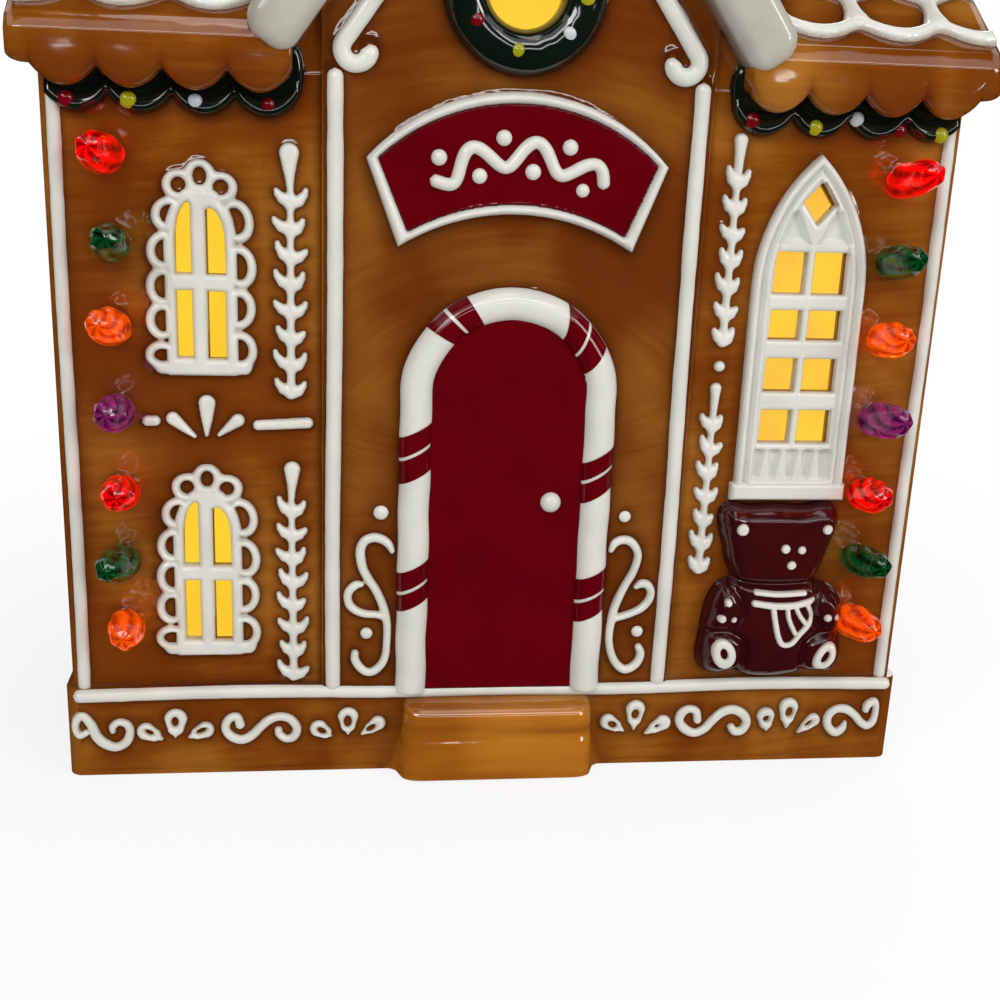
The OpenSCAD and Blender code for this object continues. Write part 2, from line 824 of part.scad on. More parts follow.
// The sign: two arcs that aren't concentric, joined by slanting ends
function arc_over(half, foot, rise, n) =
    let (r = (half * half + rise * rise) / (2 * rise), a = asin(half / r))
    [for (i = [0:n]) let (t = -a + 2 * a * i / n) [r * sin(t), foot + rise - r + r * cos(t)]];
function sign_top(inset) =
    arc_over(sign_top_half - inset * 1.25, sign_shoulder_z - inset * 0.15, sign_rise - inset * 0.85, 16);
function sign_foot(inset) =
    arc_over(sign_foot_half - inset * 0.75, sign_foot_z + inset * 1.2, sign_foot_rise - inset * 0.2, 16);
function sign_outline(inset) = concat(sign_top(inset), reversed(sign_foot(inset)));

module sign_border() {
    color(white)
        relief(bay_y, sign_out)
            difference() {
                polygon(sign_outline(0));
                polygon(sign_outline(sign_border_w));
            }
}

module sign_panel() {
    color(maroon)
        relief(bay_y, sign_field_out)
            polygon(sign_outline(sign_border_w));
}

// A plain piped wave with leaves and dots fills the sign's field
module sign_ornament() {
    r = (sign_top_half * sign_top_half + sign_rise * sign_rise) / (2 * sign_rise);
    mid = r - (sign_shoulder_z - sign_foot_z + sign_rise - sign_foot_rise) / 2;
    top = sign_shoulder_z + sign_rise;
    color(white)
        on_face(bay_y - sign_field_out)
            translate([0, top - r]) {
                linear_extrude(height = pipe_out)
                    polygon(outline([for (a = [-36:2:36])
                        (mid + stroke_w * 0.9 * sin(a * 15)) * [sin(a), cos(a)]], stroke_w));
                for (i = [-2:2])
                    for (s = [-1, 1])
                        rotate([0, 0, -i * 12 - s * 3])
                            translate([0, mid - s * stroke_w * 2.4])
                                cylinder(d = stroke_w, h = pipe_out);
            }
}

module arch(r, foot) {
    polygon(concat([[-r, foot]], reversed(arc([0, door_spring_z], r, 0, 180, 24)), [[r, foot]]));
}

module door_panel() {
    color(maroon)
        relief(bay_y, door_t)
            arch(door_half, plinth_h);
}

module cane_tube() {
    both_sides()
        translate([cane_mid_r, bay_y, plinth_h])
            upright_pipe(cane_w, door_spring_z - plinth_h);
    translate([0, bay_y, door_spring_z])
        rotate([90, 0, 0])
            rotate_extrude(angle = 180)
                translate([cane_mid_r, 0])
                    intersection() {
                        circle(r = cane_tube_r);
                        translate([-cane_tube_r, 0])
                            square([cane_w, cane_tube_r]);
                    }
}

// Each stripe slants up towards the left: height on the left leg, height on the right leg
stripe_left_shares = [0.367, 0.816];
stripe_right_shares = [0.331, 0.747];
stripe_h = 10.5;
stripe_lean = 0.45;
stripe_line = 0.9;
arch_stripe_angles = [39.5, 126];

// One stripe is two bands with a thin white line between them
module stripe_bands(h) {
    half = cane_w / 2 + over;
    rise = half * stripe_lean;
    band = (h - stripe_line) / 2;
    for (z = [-h / 2, stripe_line / 2])
        polygon([[-half, z - rise], [half, z + rise], [half, z + rise + band], [-half, z - rise + band]]);
}

module stripe_shapes() {
    run = door_spring_z - plinth_h;
    for (s = stripe_left_shares)
        translate([-cane_mid_r, plinth_h + s * run])
            stripe_bands(stripe_h);
    for (s = stripe_right_shares)
        translate([cane_mid_r, plinth_h + s * run])
            stripe_bands(stripe_h);
    for (a = arch_stripe_angles)
        translate([0, door_spring_z])
            rotate([0, 0, a])
                translate([cane_mid_r, 0])
                    stripe_bands(stripe_h * 0.86);
}

module cane_surround() {
    color(white)
        difference() {
            cane_tube();
            relief(bay_y + over, cane_tube_r + 2 * over)
                stripe_shapes();
        }
}

module cane_stripes() {
    color(maroon)
        intersection() {
            cane_tube();
            relief(bay_y + over, cane_tube_r + 2 * over)
                stripe_shapes();
        }
}

knob_x_share = 0.62;
knob_z_share = 0.64;
module door_knob() {
    color(white)
        translate([knob_x_share * door_half, bay_y - door_t,
                plinth_h + knob_z_share * (door_spring_z - plinth_h)])
            rotate([90, 0, 0])
                berry_dome(knob_r);
}

// The step's side outline: a tread that falls to a round nose, and a riser that turns under
module door_step() {
    nose = step_out * 0.22;
    toe = step_out * 0.4;
    color(amber)
        intersection() {
            translate([-step_w / 2, plinth_y, 0])
                rotate([90, 0, 90])
                    linear_extrude(height = step_w)
                        polygon(concat([[0, 0], [0, step_h]],
                            arc([nose - step_out, step_h - step_fall - nose], nose, 90, 180, 6),
                            arc([toe - step_out, toe], toe, 180, 270, 6)));
            translate([0, plinth_y, 0])
                linear_extrude(height = step_h)
                    polygon(concat([[step_w / 2, 0], [-step_w / 2, 0]],
                        arc([toe - step_w / 2, toe - step_out], toe, 180, 270, 6),
                        arc([step_w / 2 - toe, toe - step_out], toe, 270, 360, 6)));
        }
}

// Loops of the lace border: place across and up the window, lift over that place and radius.
// The second is a share of the window's height, and the others are shares of its width.
lace_loop_shares = [[-0.375, 0.085, 0, 0.115], [-0.375, 0.224, 0, 0.125], [-0.365, 0.42, 0, 0.13],
    [-0.345, 0.578, 0, 0.13], [-0.30, 0.735, 0, 0.13], [-0.185, 0.84, 0.06, 0.13],
    [0.005, 0.88, 0.057, 0.13],
    [0.19, 0.824, 0.06, 0.13], [0.336, 0.70, 0, 0.135], [0.37, 0.491, 0, 0.135], [0.365, 0.311, 0, 0.135],
    [0.365, 0.113, 0, 0.13]];
lace_hole_share = 0.46;
lace_spring_share = 0.62;
lace_rise_share = 0.26;

module lace_loops(size) {
    for (s = lace_loop_shares)
        translate([s[0] * lace_w, s[1] * lace_h + s[2] * lace_w])
            circle(r = s[3] * lace_w * size);
}

module lace_body() {
    half = lace_body_share * lace_w;
    polygon(concat([[-half, 0], [half, 0]],
        [for (a = [0:15:180]) [half * cos(a), (lace_spring_share + lace_rise_share * sin(a)) * lace_h]]));
}

module lace_window() {
    relief(front_y, lace_out)
        difference() {
            union() {
                lace_body();
                lace_loops(1);
            }
            lace_loops(lace_hole_share);
            lace_panes();
        }
}

module lace_window_upper() {
    color(white)
        translate([-lace_x, 0, lace_upper_z])
            lace_window();
}

module lace_window_lower() {
    color(white)
        translate([-lace_x, 0, lace_lower_z])
            lace_window();
}

// The tall window is a pointed arch: straight sides, then two arcs that meet at the top
function arch_side(half, spring, top) =
    let (rise = top - spring, r = (half * half + rise * rise) / (2 * half))
    arc([half - r, spring], r, 0, acos(1 - half / r), 10);
function pointed(half, spring, top) =
    let (right = arch_side(half, spring, top))
    concat([[half, 0]], right, flip_x([for (i = [len(right) - 2:-1:0]) right[i]]), [[-half, 0]]);

sill_share = 0.06;
sill_lap = 0.5;
tooth_shares = [0.075, 0.15];
rim_shares = [1, 0.88, 0.83, 0.74];
module tall_outline(s) {
    polygon(pointed(tall_w / 2 * s, tall_shoulder_share * tall_h, tall_h * (1 + s) / 2));
}

// Two raised mouldings with a groove between them stand on a thinner plate
module tall_window() {
    color(white)
        translate([tall_x, 0, tall_z])
            difference() {
                union() {
                    relief(front_y, tall_out * 0.55)
                        tall_outline(rim_shares[0]);
                    relief(front_y, tall_out)
                        difference() {
                            tall_outline(rim_shares[0]);
                            tall_outline(rim_shares[1]);
                        }
                    relief(front_y, tall_out * 0.9)
                        difference() {
                            tall_outline(rim_shares[2]);
                            tall_outline(rim_shares[3]);
                        }
                    relief(front_y, tall_out)
                        translate([-tall_w / 2 - sill_lap, 0])
                            square([tall_w + 2 * sill_lap, sill_share * tall_h]);
                    relief(front_y, tall_out * 0.75) {
                        tall_bars();
                        tall_head();
                    }
                }
                relief(front_y + over, tall_out + 2 * over)
                    tall_panes();
            }
}

// The head holds the lozenge and two blind panes
module tall_head() {
    difference() {
        intersection() {
            tall_outline(rim_shares[3]);
            translate([-tall_w / 2, tall_row_shares[3][1] * tall_h])
                square([tall_w, tall_h]);
        }
        both_sides()
            polygon([for (b = tall_blind_shares) [b[0] * tall_w / 2, b[1] * tall_h]]);
    }
}

module tall_bars() {
    edge = tall_w / 2 * rim_shares[3];
    translate([-bar_w / 2, tooth_shares[1] * tall_h])
        square([bar_w, (tall_row_shares[3][1] - tooth_shares[1]) * tall_h]);
    for (i = [0:2])
        translate([-edge, tall_row_shares[i][1] * tall_h])
            square([2 * edge, (tall_row_shares[i + 1][0] - tall_row_shares[i][1]) * tall_h]);
    translate([-edge, tooth_shares[1] * tall_h])
        square([2 * edge, (tall_row_shares[0][0] - tooth_shares[1]) * tall_h]);
    for (i = [-2:2])
        translate([i * edge * 0.4 - bar_w * 0.4, sill_share * tall_h])
            square([bar_w * 0.8, (tooth_shares[1] - sill_share) * tall_h]);
}

module film() {
    relief(front_y + film_skin + film_t, film_t)
        children();
}

module film_upper() {
    color(film_yellow)
        film()
            at_lace(lace_upper_z)
                lace_pocket(-run_gap);
}

module film_lower() {
    color(film_yellow)
        film()
            at_lace(lace_lower_z)
                lace_pocket(-run_gap);
}

module film_tall() {
    color(film_yellow)
        film()
            at_tall()
                tall_pocket(-run_gap);
}

module film_round() {
    color(film_yellow)
        translate([0, front_y + film_skin + film_t, wreath_z])
            rotate([90, 0, 0])
                cylinder(r = round_film_r - run_gap, h = film_t);
}

// A leaf branch is one outline: up its right side leaf by leaf, and down its left side.
// Each point of a leaf is a share of the half width and of the leaves' distance.
leaf_shares = [[0.26, 0.02], [0.60, 0.08], [0.92, 0.34], [1, 0.52], [0.86, 0.58], [0.55, 0.50],
    [0.28, 0.64]];
function branch_side(h, n) =
    [for (i = [0:n - 1]) for (q = leaf_shares) [q[0] * branch_w / 2, h / n * (i + q[1])]];
drop_h = 7;
function drop_head(z, l) = arc([0, z + l - stroke_w * 0.6], stroke_w * 0.6, -20, 200, 8);
function branch(h, n) =
    concat(branch_side(h, n), drop_head(h, drop_h), flip_x(reversed(branch_side(h, n))));

module drop(l) {
    linear_extrude(height = pipe_out)
        polygon(concat([[0, 0]], drop_head(0, l)));
}

module branch_at(x, z, h, n) {
    translate([x, z])
        linear_extrude(height = pipe_out)
            polygon(branch(h, n));
}

module dash(x0, x1, z) {
    linear_extrude(height = pipe_out)
        polygon(outline([[x0, z], [(x0 + x1) / 2, z], [x1, z]], stroke_w * 0.9));
}

// A column of branches between two heights. Foot and tip are shares of the column.
module branch_column(x, foot, top, shares, n) {
    for (s = shares)
        branch_at(x, foot + s[0] * (top - foot), (s[1] - s[0]) * (top - foot) - drop_h, n);
}

branch_lift = 1.5;
branch_drop = 14.6;
branch_gap = 0.5;
arm_gap = 5.6;
left_branch_shares = [[0, 0.438], [0.562, 1]];
right_branch_shares = [[0, 0.467], [0.543, 1]];
branch_dot_share = 0.499;
motif_lift = 6.7;
motif_leaf_share = 0.243;
dash_gap = 2.4;
module piped_leaves() {
    right_foot = bear_z + bear_h / 2 + arm_gap;
    right_top = eave_h - garland_h - branch_gap;
    leaf = motif_leaf_share * clear_w;
    motif_z = lace_lower_z + lace_h + motif_lift;
    color(white)
        on_face(front_y) {
            branch_column(-branch_x, plinth_h + branch_lift, eave_h - branch_drop, left_branch_shares, 8);
            branch_column(branch_x, right_foot, right_top, right_branch_shares, 7);
            translate([branch_x, right_foot + branch_dot_share * (right_top - right_foot)])
                cylinder(d = stroke_w, h = pipe_out);
            translate([-lace_x, motif_z])
                for (i = [-1:1])
                    translate([i * leaf * 0.36, 0])
                        rotate([0, 0, -50 * i])
                            drop(leaf);
            dash(leaf * 1.6 - lace_x, -bay_half - dash_gap, motif_z + stroke_w);
            dash(-lace_x - leaf * 1.75, -lace_x - leaf * 1.42, motif_z + stroke_w);
        }
}

// The scroll beside the door, as shares of its width and height from its middle
door_scroll_shares = [[-0.5, 0.38], [-0.34, 0.47], [-0.02, 0.49], [0.27, 0.40], [0.23, 0.30],
    [0, 0.19], [-0.3, 0.04], [-0.44, -0.12], [-0.42, -0.32], [-0.26, -0.45], [0.02, -0.49],
    [0.38, -0.42], [0.33, -0.33]];
door_curl_shares = [[0.23, 0.15], [0.55, 0.07], [0.40, -0.03], [-0.14, -0.07]];
scroll_place_share = 0.47;
module door_scrolls() {
    color(white)
        on_face(bay_y)
            both_sides()
                translate([cane_r + scroll_place_share * door_side, plinth_h + scroll_lift + scroll_h / 2]) {
                    piped(smooth(placed(door_scroll_shares, scroll_w, scroll_h), 3), stroke_w, pipe_out);
                    piped(smooth(placed(door_curl_shares, scroll_w, scroll_h), 3), stroke_w, pipe_out);
                    translate([scroll_w * 0.12, -scroll_h * 0.2])
                        cylinder(d = stroke_w * 1.3, h = pipe_out);
                    translate([-scroll_w * 0.25, scroll_h * 0.65])
                        cylinder(d = stroke_w * 1.5, h = pipe_out);
                }
}

// The plinth's outer and inner scrolls, as shares of their height, and its trios of looped leaves
outer_scroll_shares = [[-0.45, -0.10], [-0.72, 0.26], [-0.50, 0.52], [-0.25, 0.17], [0.02, -0.36],
    [0.40, -0.50], [0.76, -0.17], [0.70, 0.24], [0.46, 0.34], [0.24, 0.06]];
inner_scroll_shares = [[-0.55, 0.05], [-0.76, 0.32], [-1.02, 0.04], [-0.60, -0.42], [-0.13, -0.10],
    [0.20, 0.28], [0.57, 0.42], [0.92, 0.05], [0.70, -0.38], [0.36, -0.10]];
// Side, and place as a share of the plinth beside the step
outer_place_shares = [[-1, 0.875], [1, 0.87]];
inner_place_shares = [[-1, 0.405], [1, 0.45]];
trio_place_shares = [[-1, 0.692], [-1, 0.16], [1, 0.145], [1, 0.662]];
function on_plinth(s) = [s[0] * (step_w / 2 + s[1] * (half_w - step_w / 2)), plinth_h / 2];
module plinth_scroll(shares) {
    piped(smooth(placed(shares, plinth_scroll_h, plinth_scroll_h), 3), stroke_w * 0.9, pipe_out);
}

module plinth_scrolls() {
    color(white)
        on_face(plinth_y) {
            for (s = outer_place_shares)
                translate(on_plinth(s))
                    scale([-s[0], 1, 1])
                        plinth_scroll(outer_scroll_shares);
            for (s = inner_place_shares)
                translate(on_plinth(s))
                    plinth_scroll(inner_scroll_shares);
            for (s = trio_place_shares)
                translate(on_plinth(s) - [0, plinth_h * 0.12])
                    for (a = [-58, 0, 58])
                        rotate([0, 0, a])
                            translate([0, plinth_scroll_h * 0.22])
                                looped_leaf();
        }
}

module looped_leaf() {
    l = plinth_scroll_h * 0.85;
    r = stroke_w * 0.8;
    linear_extrude(height = pipe_out)
        difference() {
            polygon(concat([[0, 0]], arc([0, l - r], r, -20, 200, 8)));
            translate([0, l - r])
                circle(d = stroke_w * 0.7);
        }
}

// The bear: round forms cut off by the wall behind them. Each has its side, its height over the
// seat, its radius and its middle's distance before the wall, as shares of the bear's height.
bear_mid_shares = [[0.77, 0.24, -0.06], [0.29, 0.29, -0.10]];
bear_pair_shares = [[0.225, 0.88, 0.115, -0.02], [0.275, 0.38, 0.10, 0.01], [0.29, 0.14, 0.13, 0.03],
    [0.10, 0.62, 0.16, -0.03]];
module bear_forms(grow) {
    translate([bear_x, front_y, bear_z]) {
        for (m = bear_mid_shares)
            translate([0, -m[2] * bear_h, m[0] * bear_h])
                rotate([90, 0, 0])
                    sphere(r = m[1] * bear_h + grow);
        for (s = [-1, 1])
            for (m = bear_pair_shares)
                translate([s * m[0] * bear_h, -m[3] * bear_h, m[1] * bear_h])
                    rotate([90, 0, 0])
                        sphere(r = m[2] * bear_h + grow);
    }
}

module behind_wall_face() {
    translate([bear_x - bear_h, front_y, 0])
        cube([2 * bear_h, bear_h, 3 * bear_h]);
}

module bear() {
    color(cocoa)
        difference() {
            bear_forms(0);
            behind_wall_face();
        }
}

// The bear's icing: dots with their radius, lines and soles, as shares of its height
bear_dot_shares = [[0.25, 0.895, 0.035], [-0.25, 0.895, 0.035], [0.105, 0.79, 0.025],
    [0.005, 0.79, 0.025], [0.07, 0.69, 0.025], [0.28, 0.37, 0.025], [0.325, 0.365, 0.02],
    [0.29, 0.44, 0.018], [-0.27, 0.45, 0.022], [-0.31, 0.37, 0.025], [-0.25, 0.36, 0.022]];
bear_line_shares = [[[-0.15, 0.515], [0, 0.51], [0.157, 0.515]],
    [[-0.155, 0.455], [0.04, 0.462], [0.225, 0.465]],
    [[-0.02, 0.44], [0, 0.30], [0.03, 0.205], [0.115, 0.235], [0.085, 0.34], [0.055, 0.44]],
    [[0.085, 0.44], [0.115, 0.30], [0.155, 0.295], [0.19, 0.35], [0.155, 0.455]]];
bear_sole_shares = [0.062, 0.088, 0.022];
module bear_marks() {
    translate([bear_x, bear_z]) {
        for (s = bear_dot_shares)
            translate([s[0] * bear_h, s[1] * bear_h])
                circle(r = s[2] * bear_h);
        for (l = bear_line_shares)
            polygon(outline(smooth(placed(l, bear_h, bear_h), 3), stroke_w * 0.75));
        both_sides()
            translate([0.295 * bear_h, 0.15 * bear_h])
                rotate([0, 0, -20])
                    difference() {
                        scale([bear_sole_shares[0], bear_sole_shares[1]])
                            circle(r = bear_h);
                        circle(r = bear_sole_shares[2] * bear_h);
                    }
    }
}

module bear_icing() {
    color(white)
        difference() {
            intersection() {
                bear_forms(pipe_out / 2);
                relief(front_y, bear_h / 3)
                    bear_marks();
            }
            bear_forms(0);
        }
}

// The twist bulb: a flame with spiral flutes, drawn as rings along its length
flame_shares = [[0, 0.62], [0.06, 0.84], [0.2, 0.97], [0.36, 1], [0.54, 0.88], [0.72, 0.64],
    [0.88, 0.34], [1, 0.12]];
flute_count = 5;
flute_share = 0.09;
flute_turn = 150;
ring_sides = 20;
function flame_ring(k) = [for (i = [0:ring_sides - 1])
    let (u = flame_shares[k][0], a = 360 * i / ring_sides,
        flute = 1 - flute_share + flute_share * cos(flute_count * (a - flute_turn * u)),
        r = bulb_w / 2 * flame_shares[k][1] * flute)
    [r * cos(a), r * sin(a), u * bulb_len]];

module flame() {
    last = len(flame_shares) - 1;
    polyhedron(
        points = [for (k = [0:last]) each flame_ring(k)],
        faces = concat(
            [[for (i = [0:ring_sides - 1]) i]],
            [for (k = [0:last - 1]) for (i = [0:ring_sides - 1])
                let (a = k * ring_sides + i, b = k * ring_sides + (i + 1) % ring_sides)
                each [[a, a + ring_sides, b + ring_sides], [a, b + ring_sides, b]]],
            [[for (i = [ring_sides - 1:-1:0]) last * ring_sides + i]]));
}

peg_tail = 2;
module twist_bulb(s, i) {
    color(bulb_colors[bulb_order[i]])
        translate([s * bulb_x, front_y, bulb_z(i)])
            rotate([90, 0, 0]) {
                flame();
                translate([0, 0, -wall_t - peg_tail])
                    cylinder(d = peg_w, h = wall_t + peg_tail + over);
            }
}

module bulb_left_1() twist_bulb(-1, 0);
module bulb_left_2() twist_bulb(-1, 1);
module bulb_left_3() twist_bulb(-1, 2);
module bulb_left_4() twist_bulb(-1, 3);
module bulb_left_5() twist_bulb(-1, 4);
module bulb_left_6() twist_bulb(-1, 5);
module bulb_left_7() twist_bulb(-1, 6);
module bulb_right_1() twist_bulb(1, 0);
module bulb_right_2() twist_bulb(1, 1);
module bulb_right_3() twist_bulb(1, 2);
module bulb_right_4() twist_bulb(1, 3);
module bulb_right_5() twist_bulb(1, 4);
module bulb_right_6() twist_bulb(1, 5);
module bulb_right_7() twist_bulb(1, 6);

// The plastic case that closes the floor and holds the cells, the switch and the lamps
module flange_outline() {
    polygon(round_rect(case_w + 2 * flange_lap, case_d + 2 * flange_lap, case_r + flange_lap));
}

module light_base() {
    color([0.93, 0.93, 0.90])
        difference() {
            union() {
                translate([0, mid_y, flange_lift])
                    linear_extrude(height = flange_t)
                        flange_outline();
                translate([0, mid_y, flange_lift])
                    linear_extrude(height = case_top - flange_lift)
                        polygon(round_rect(case_w, case_d, case_r));
            }
            translate([bay_x0, mid_y - bay_d / 2, flange_lift - over])
                cube([bay_x, bay_d, case_top - case_t - flange_lift + over]);
            translate([bay_x0 + bay_x + case_t, mid_y - bay_d / 2, flange_lift + flange_t])
                cube([switch_bay_w, bay_d, case_top - case_t - flange_lift - flange_t]);
            translate([switch_x - slot_w / 2, mid_y - slot_len / 2, flange_lift - over])
                cube([slot_w, slot_len, flange_t + 2 * over]);
            translate([bay_x0 - pin_len - run_gap, hinge_y, hinge_z])
                rotate([0, 90, 0])
                    cylinder(r = hinge_pin_r + pin_gap, h = bay_x + 2 * (pin_len + run_gap));
            // Finger notch at the door's free edge
            translate([bay_x0 + bay_x / 2, mid_y + bay_d / 2, flange_lift - over])
                cylinder(d = cell_d * 0.6, h = flange_t * 0.6 + over);
        }
}

module battery_door() {
    color([0.93, 0.93, 0.90])
        difference() {
            union() {
                translate([bay_x0 + run_gap, hinge_y, door_z0])
                    cube([bay_x - 2 * run_gap, mid_y + bay_d / 2 - run_gap - hinge_y, 2 * barrel_r]);
                translate([bay_x0 + run_gap, hinge_y, hinge_z])
                    rotate([0, 90, 0])
                        cylinder(r = barrel_r, h = bay_x - 2 * run_gap);
                translate([bay_x0 - pin_len, hinge_y, hinge_z])
                    rotate([0, 90, 0])
                        cylinder(r = hinge_pin_r, h = bay_x + 2 * pin_len);
            }
            // Grip ribs cut into the outside of the door
            grip_y = mid_y + bay_d / 2 - cell_d * 0.3;
            for (i = [0:4])
                translate([bay_x0 + bay_x / 3, grip_y - i * barrel_r * 1.6, door_z0 - over])
                    cube([bay_x / 3, barrel_r * 0.7, over + barrel_r * 0.5]);
        }
}

cell_x0 = bay_x0 + run_gap + plate_t;
function cell_y(i) = mid_y + (i - 1) * (cell_d + cell_gap);
module cell(i) {
    turn = i == 1 ? -1 : 1;
    color([0.20, 0.22, 0.25])
        translate([cell_x0 + (i == 1 ? cell_len : spring_len), cell_y(i), cell_z])
            rotate([0, turn * 90, 0]) {
                cylinder(d = cell_d, h = cell_len - cell_gap * 2);
                cylinder(d = cell_d * 0.38, h = cell_len);
            }
}

module cell_1() cell(0);
module cell_2() cell(1);
module cell_3() cell(2);

spring_end_shares = [0.34, 0.2];
module contact_springs() {
    color([0.75, 0.76, 0.78])
        for (i = [0:2])
            translate([i == 1 ? cell_x0 + cell_len : cell_x0, cell_y(i), cell_z])
                rotate([0, 90, 0])
                    difference() {
                        cylinder(h = spring_len, r1 = cell_d * spring_end_shares[i % 2],
                            r2 = cell_d * spring_end_shares[1 - i % 2]);
                        translate([0, 0, -over])
                            cylinder(r = cell_d * 0.13, h = spring_len + 2 * over);
                    }
}

module contact_plates() {
    color([0.75, 0.76, 0.78])
        for (x = [cell_x0 - plate_t, cell_x0 + cell_len + spring_len])
            translate([x, mid_y - bay_d / 2, cell_z - cell_d * 0.35])
                cube([plate_t, bay_d, cell_d * 0.7]);
}

// The knob is trapped by its wider slider plate above the flange
module switch_knob() {
    color([0.08, 0.08, 0.08]) {
        translate([switch_x - knob_w / 2, mid_y - knob_len / 2, door_z0])
            cube([knob_w, knob_len, flange_t + run_gap]);
        translate([switch_x - knob_w, mid_y - knob_len, flange_lift + flange_t + run_gap])
            cube([2 * knob_w, 2 * knob_len, case_t]);
    }
}

board_w = 42;
board_d = 20;
board_t = 1.2;
module led_board() {
    color([0.10, 0.35, 0.18])
        translate([-board_w / 2, mid_y - board_d / 2, case_top])
            cube([board_w, board_d, board_t]);
}

lamp_r = 2.5;
lamp_h = 8.6;
module led_lamps() {
    color([1.0, 0.96, 0.85])
        for (i = [-1:1])
            translate([i * board_w / 3, mid_y, case_top + board_t]) {
                cylinder(r = lamp_r, h = lamp_h - lamp_r);
                translate([0, 0, lamp_h - lamp_r])
                    sphere(r = lamp_r);
            }
}

module case_gasket() {
    color([0.85, 0.85, 0.83])
        translate([0, mid_y, flange_lift + flange_t])
            linear_extrude(height = foot_h - flange_lift - flange_t)
                difference() {
                    flange_outline();
                    polygon(round_rect(case_w + 2 * run_gap, case_d + 2 * run_gap, case_r));
                }
}

house_walls();
main_roof();
gable_roof();
door_step();
corner_piping();
base_piping();
bay_piping();
barge_board_left();
barge_board_right();
roof_icing();
garland_left();
garland_right();
garland_berries();
wreath();
wreath_berries();
sign_panel();
sign_border();
sign_ornament();
door_panel();
cane_surround();
cane_stripes();
door_knob();
lace_window_upper();
lace_window_lower();
tall_window();
film_upper();
film_lower();
film_tall();
film_round();
piped_leaves();
door_scrolls();
plinth_scrolls();
bear();
bear_icing();
bulb_left_1();
bulb_left_2();
bulb_left_3();
bulb_left_4();
bulb_left_5();
bulb_left_6();
bulb_left_7();
bulb_right_1();
bulb_right_2();
bulb_right_3();
bulb_right_4();
bulb_right_5();
bulb_right_6();
bulb_right_7();
light_base();
battery_door();
cell_1();
cell_2();
cell_3();
contact_springs();
contact_plates();
switch_knob();
led_board();
led_lamps();
case_gasket();
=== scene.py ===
"""A lit ceramic village house, iced like gingerbread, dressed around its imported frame."""
import json
from math import asin, cos, degrees, floor, hypot, pi, radians, sin, sqrt, tan

import bpy
import bmesh
import numpy as np
from mathutils import Matrix, Vector


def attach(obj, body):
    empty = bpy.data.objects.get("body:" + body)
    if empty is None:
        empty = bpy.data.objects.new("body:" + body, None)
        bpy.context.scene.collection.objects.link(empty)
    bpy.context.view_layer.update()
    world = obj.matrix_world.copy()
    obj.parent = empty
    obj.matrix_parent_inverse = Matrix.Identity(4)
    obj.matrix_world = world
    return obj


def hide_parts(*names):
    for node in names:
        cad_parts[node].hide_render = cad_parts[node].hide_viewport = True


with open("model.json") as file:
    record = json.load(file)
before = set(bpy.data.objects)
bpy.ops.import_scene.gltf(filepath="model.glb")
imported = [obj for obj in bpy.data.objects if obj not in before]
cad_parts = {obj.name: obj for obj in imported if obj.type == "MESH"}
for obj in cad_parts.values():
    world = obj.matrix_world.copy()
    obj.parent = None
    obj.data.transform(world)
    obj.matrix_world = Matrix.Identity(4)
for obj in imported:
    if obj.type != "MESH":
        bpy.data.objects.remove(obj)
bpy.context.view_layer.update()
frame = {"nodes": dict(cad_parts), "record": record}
MM = 0.001
HOUSE = "house"

# Places that the house shares with its solids, in millimetres
FRONT, BACK, MID = -53.75, 62.25, 4.25
HALF, DEEP, ROOM = 98.5, 58.0, 54.8
PLINTH, PLINTH_OUT, EAVE, FASCIA = 22.0, 1.5, 159.0, 167.5
PITCH, ROOF_HALF, EAVE_OUT, GAP = radians(35), 103.0, 8.5, 47.5
EAVE_Y = DEEP + EAVE_OUT
SLOPE = EAVE_Y / cos(PITCH)
GABLE_PITCH, GABLE_TOP = radians(54.5), 247.96
BARGE_W, BARGE_LEN, BARGE_OUT, BARGE_BEVEL = 11.5, 99.88, 11.0, 3.2
BARGE_TOP = GABLE_TOP + 1 / cos(GABLE_PITCH)
BAY, BAY_OUT = 41.5, 1.5

# How thick the glaze lies, how far a shape is felt, and the mark of a point well inside its rim
SKIN, REACH, DEEP_RIM = 0.12, 9.0, 2.0

# How strongly the films glow and the white room lights the house
FILM_GLOW, ROOM_LIGHT = 0.98, 0.25

# The camera, as it was fitted to the photograph
LENS_PX, FRAME_PX, SENSOR = 1350.0, 1000.0, 36
EYE = (-40.0, FRONT - 294.0, 158.36)
TURN, TILT, ROLL = -0.13219, -0.29793, -0.04093
camera = bpy.data.objects.new("camera", bpy.data.cameras.new("camera"))
bpy.context.scene.collection.objects.link(camera)
camera.data.sensor_width = SENSOR
camera.data.lens = SENSOR * LENS_PX / FRAME_PX
camera.data.clip_start = 0.01
camera.matrix_world = (
    Matrix.Translation(Vector(EYE) * MM) @ Matrix.Rotation(TURN, 4, "Z") @ Matrix.Rotation(TILT, 4, "X")
    @ Matrix.Rotation(ROLL, 4, "Y") @ Matrix.Rotation(pi / 2, 4, "X"))
bpy.context.scene.camera = camera
bpy.context.scene.view_settings.view_transform = "Standard"


# Finishes

class Wire:
    """A node's output, with the arithmetic that masks and measures need."""

    def __init__(self, nodes, socket):
        self.nodes, self.socket = nodes, socket

    def __add__(self, other):
        return self.nodes.maths("ADD", self, other)

    def __sub__(self, other):
        return self.nodes.maths("SUBTRACT", self, other)

    def __rsub__(self, other):
        return self.nodes.maths("SUBTRACT", other, self)

    def __mul__(self, other):
        return self.nodes.maths("MULTIPLY", self, other)

    def __truediv__(self, other):
        return self.nodes.maths("DIVIDE", self, other)

    __radd__, __rmul__ = __add__, __mul__


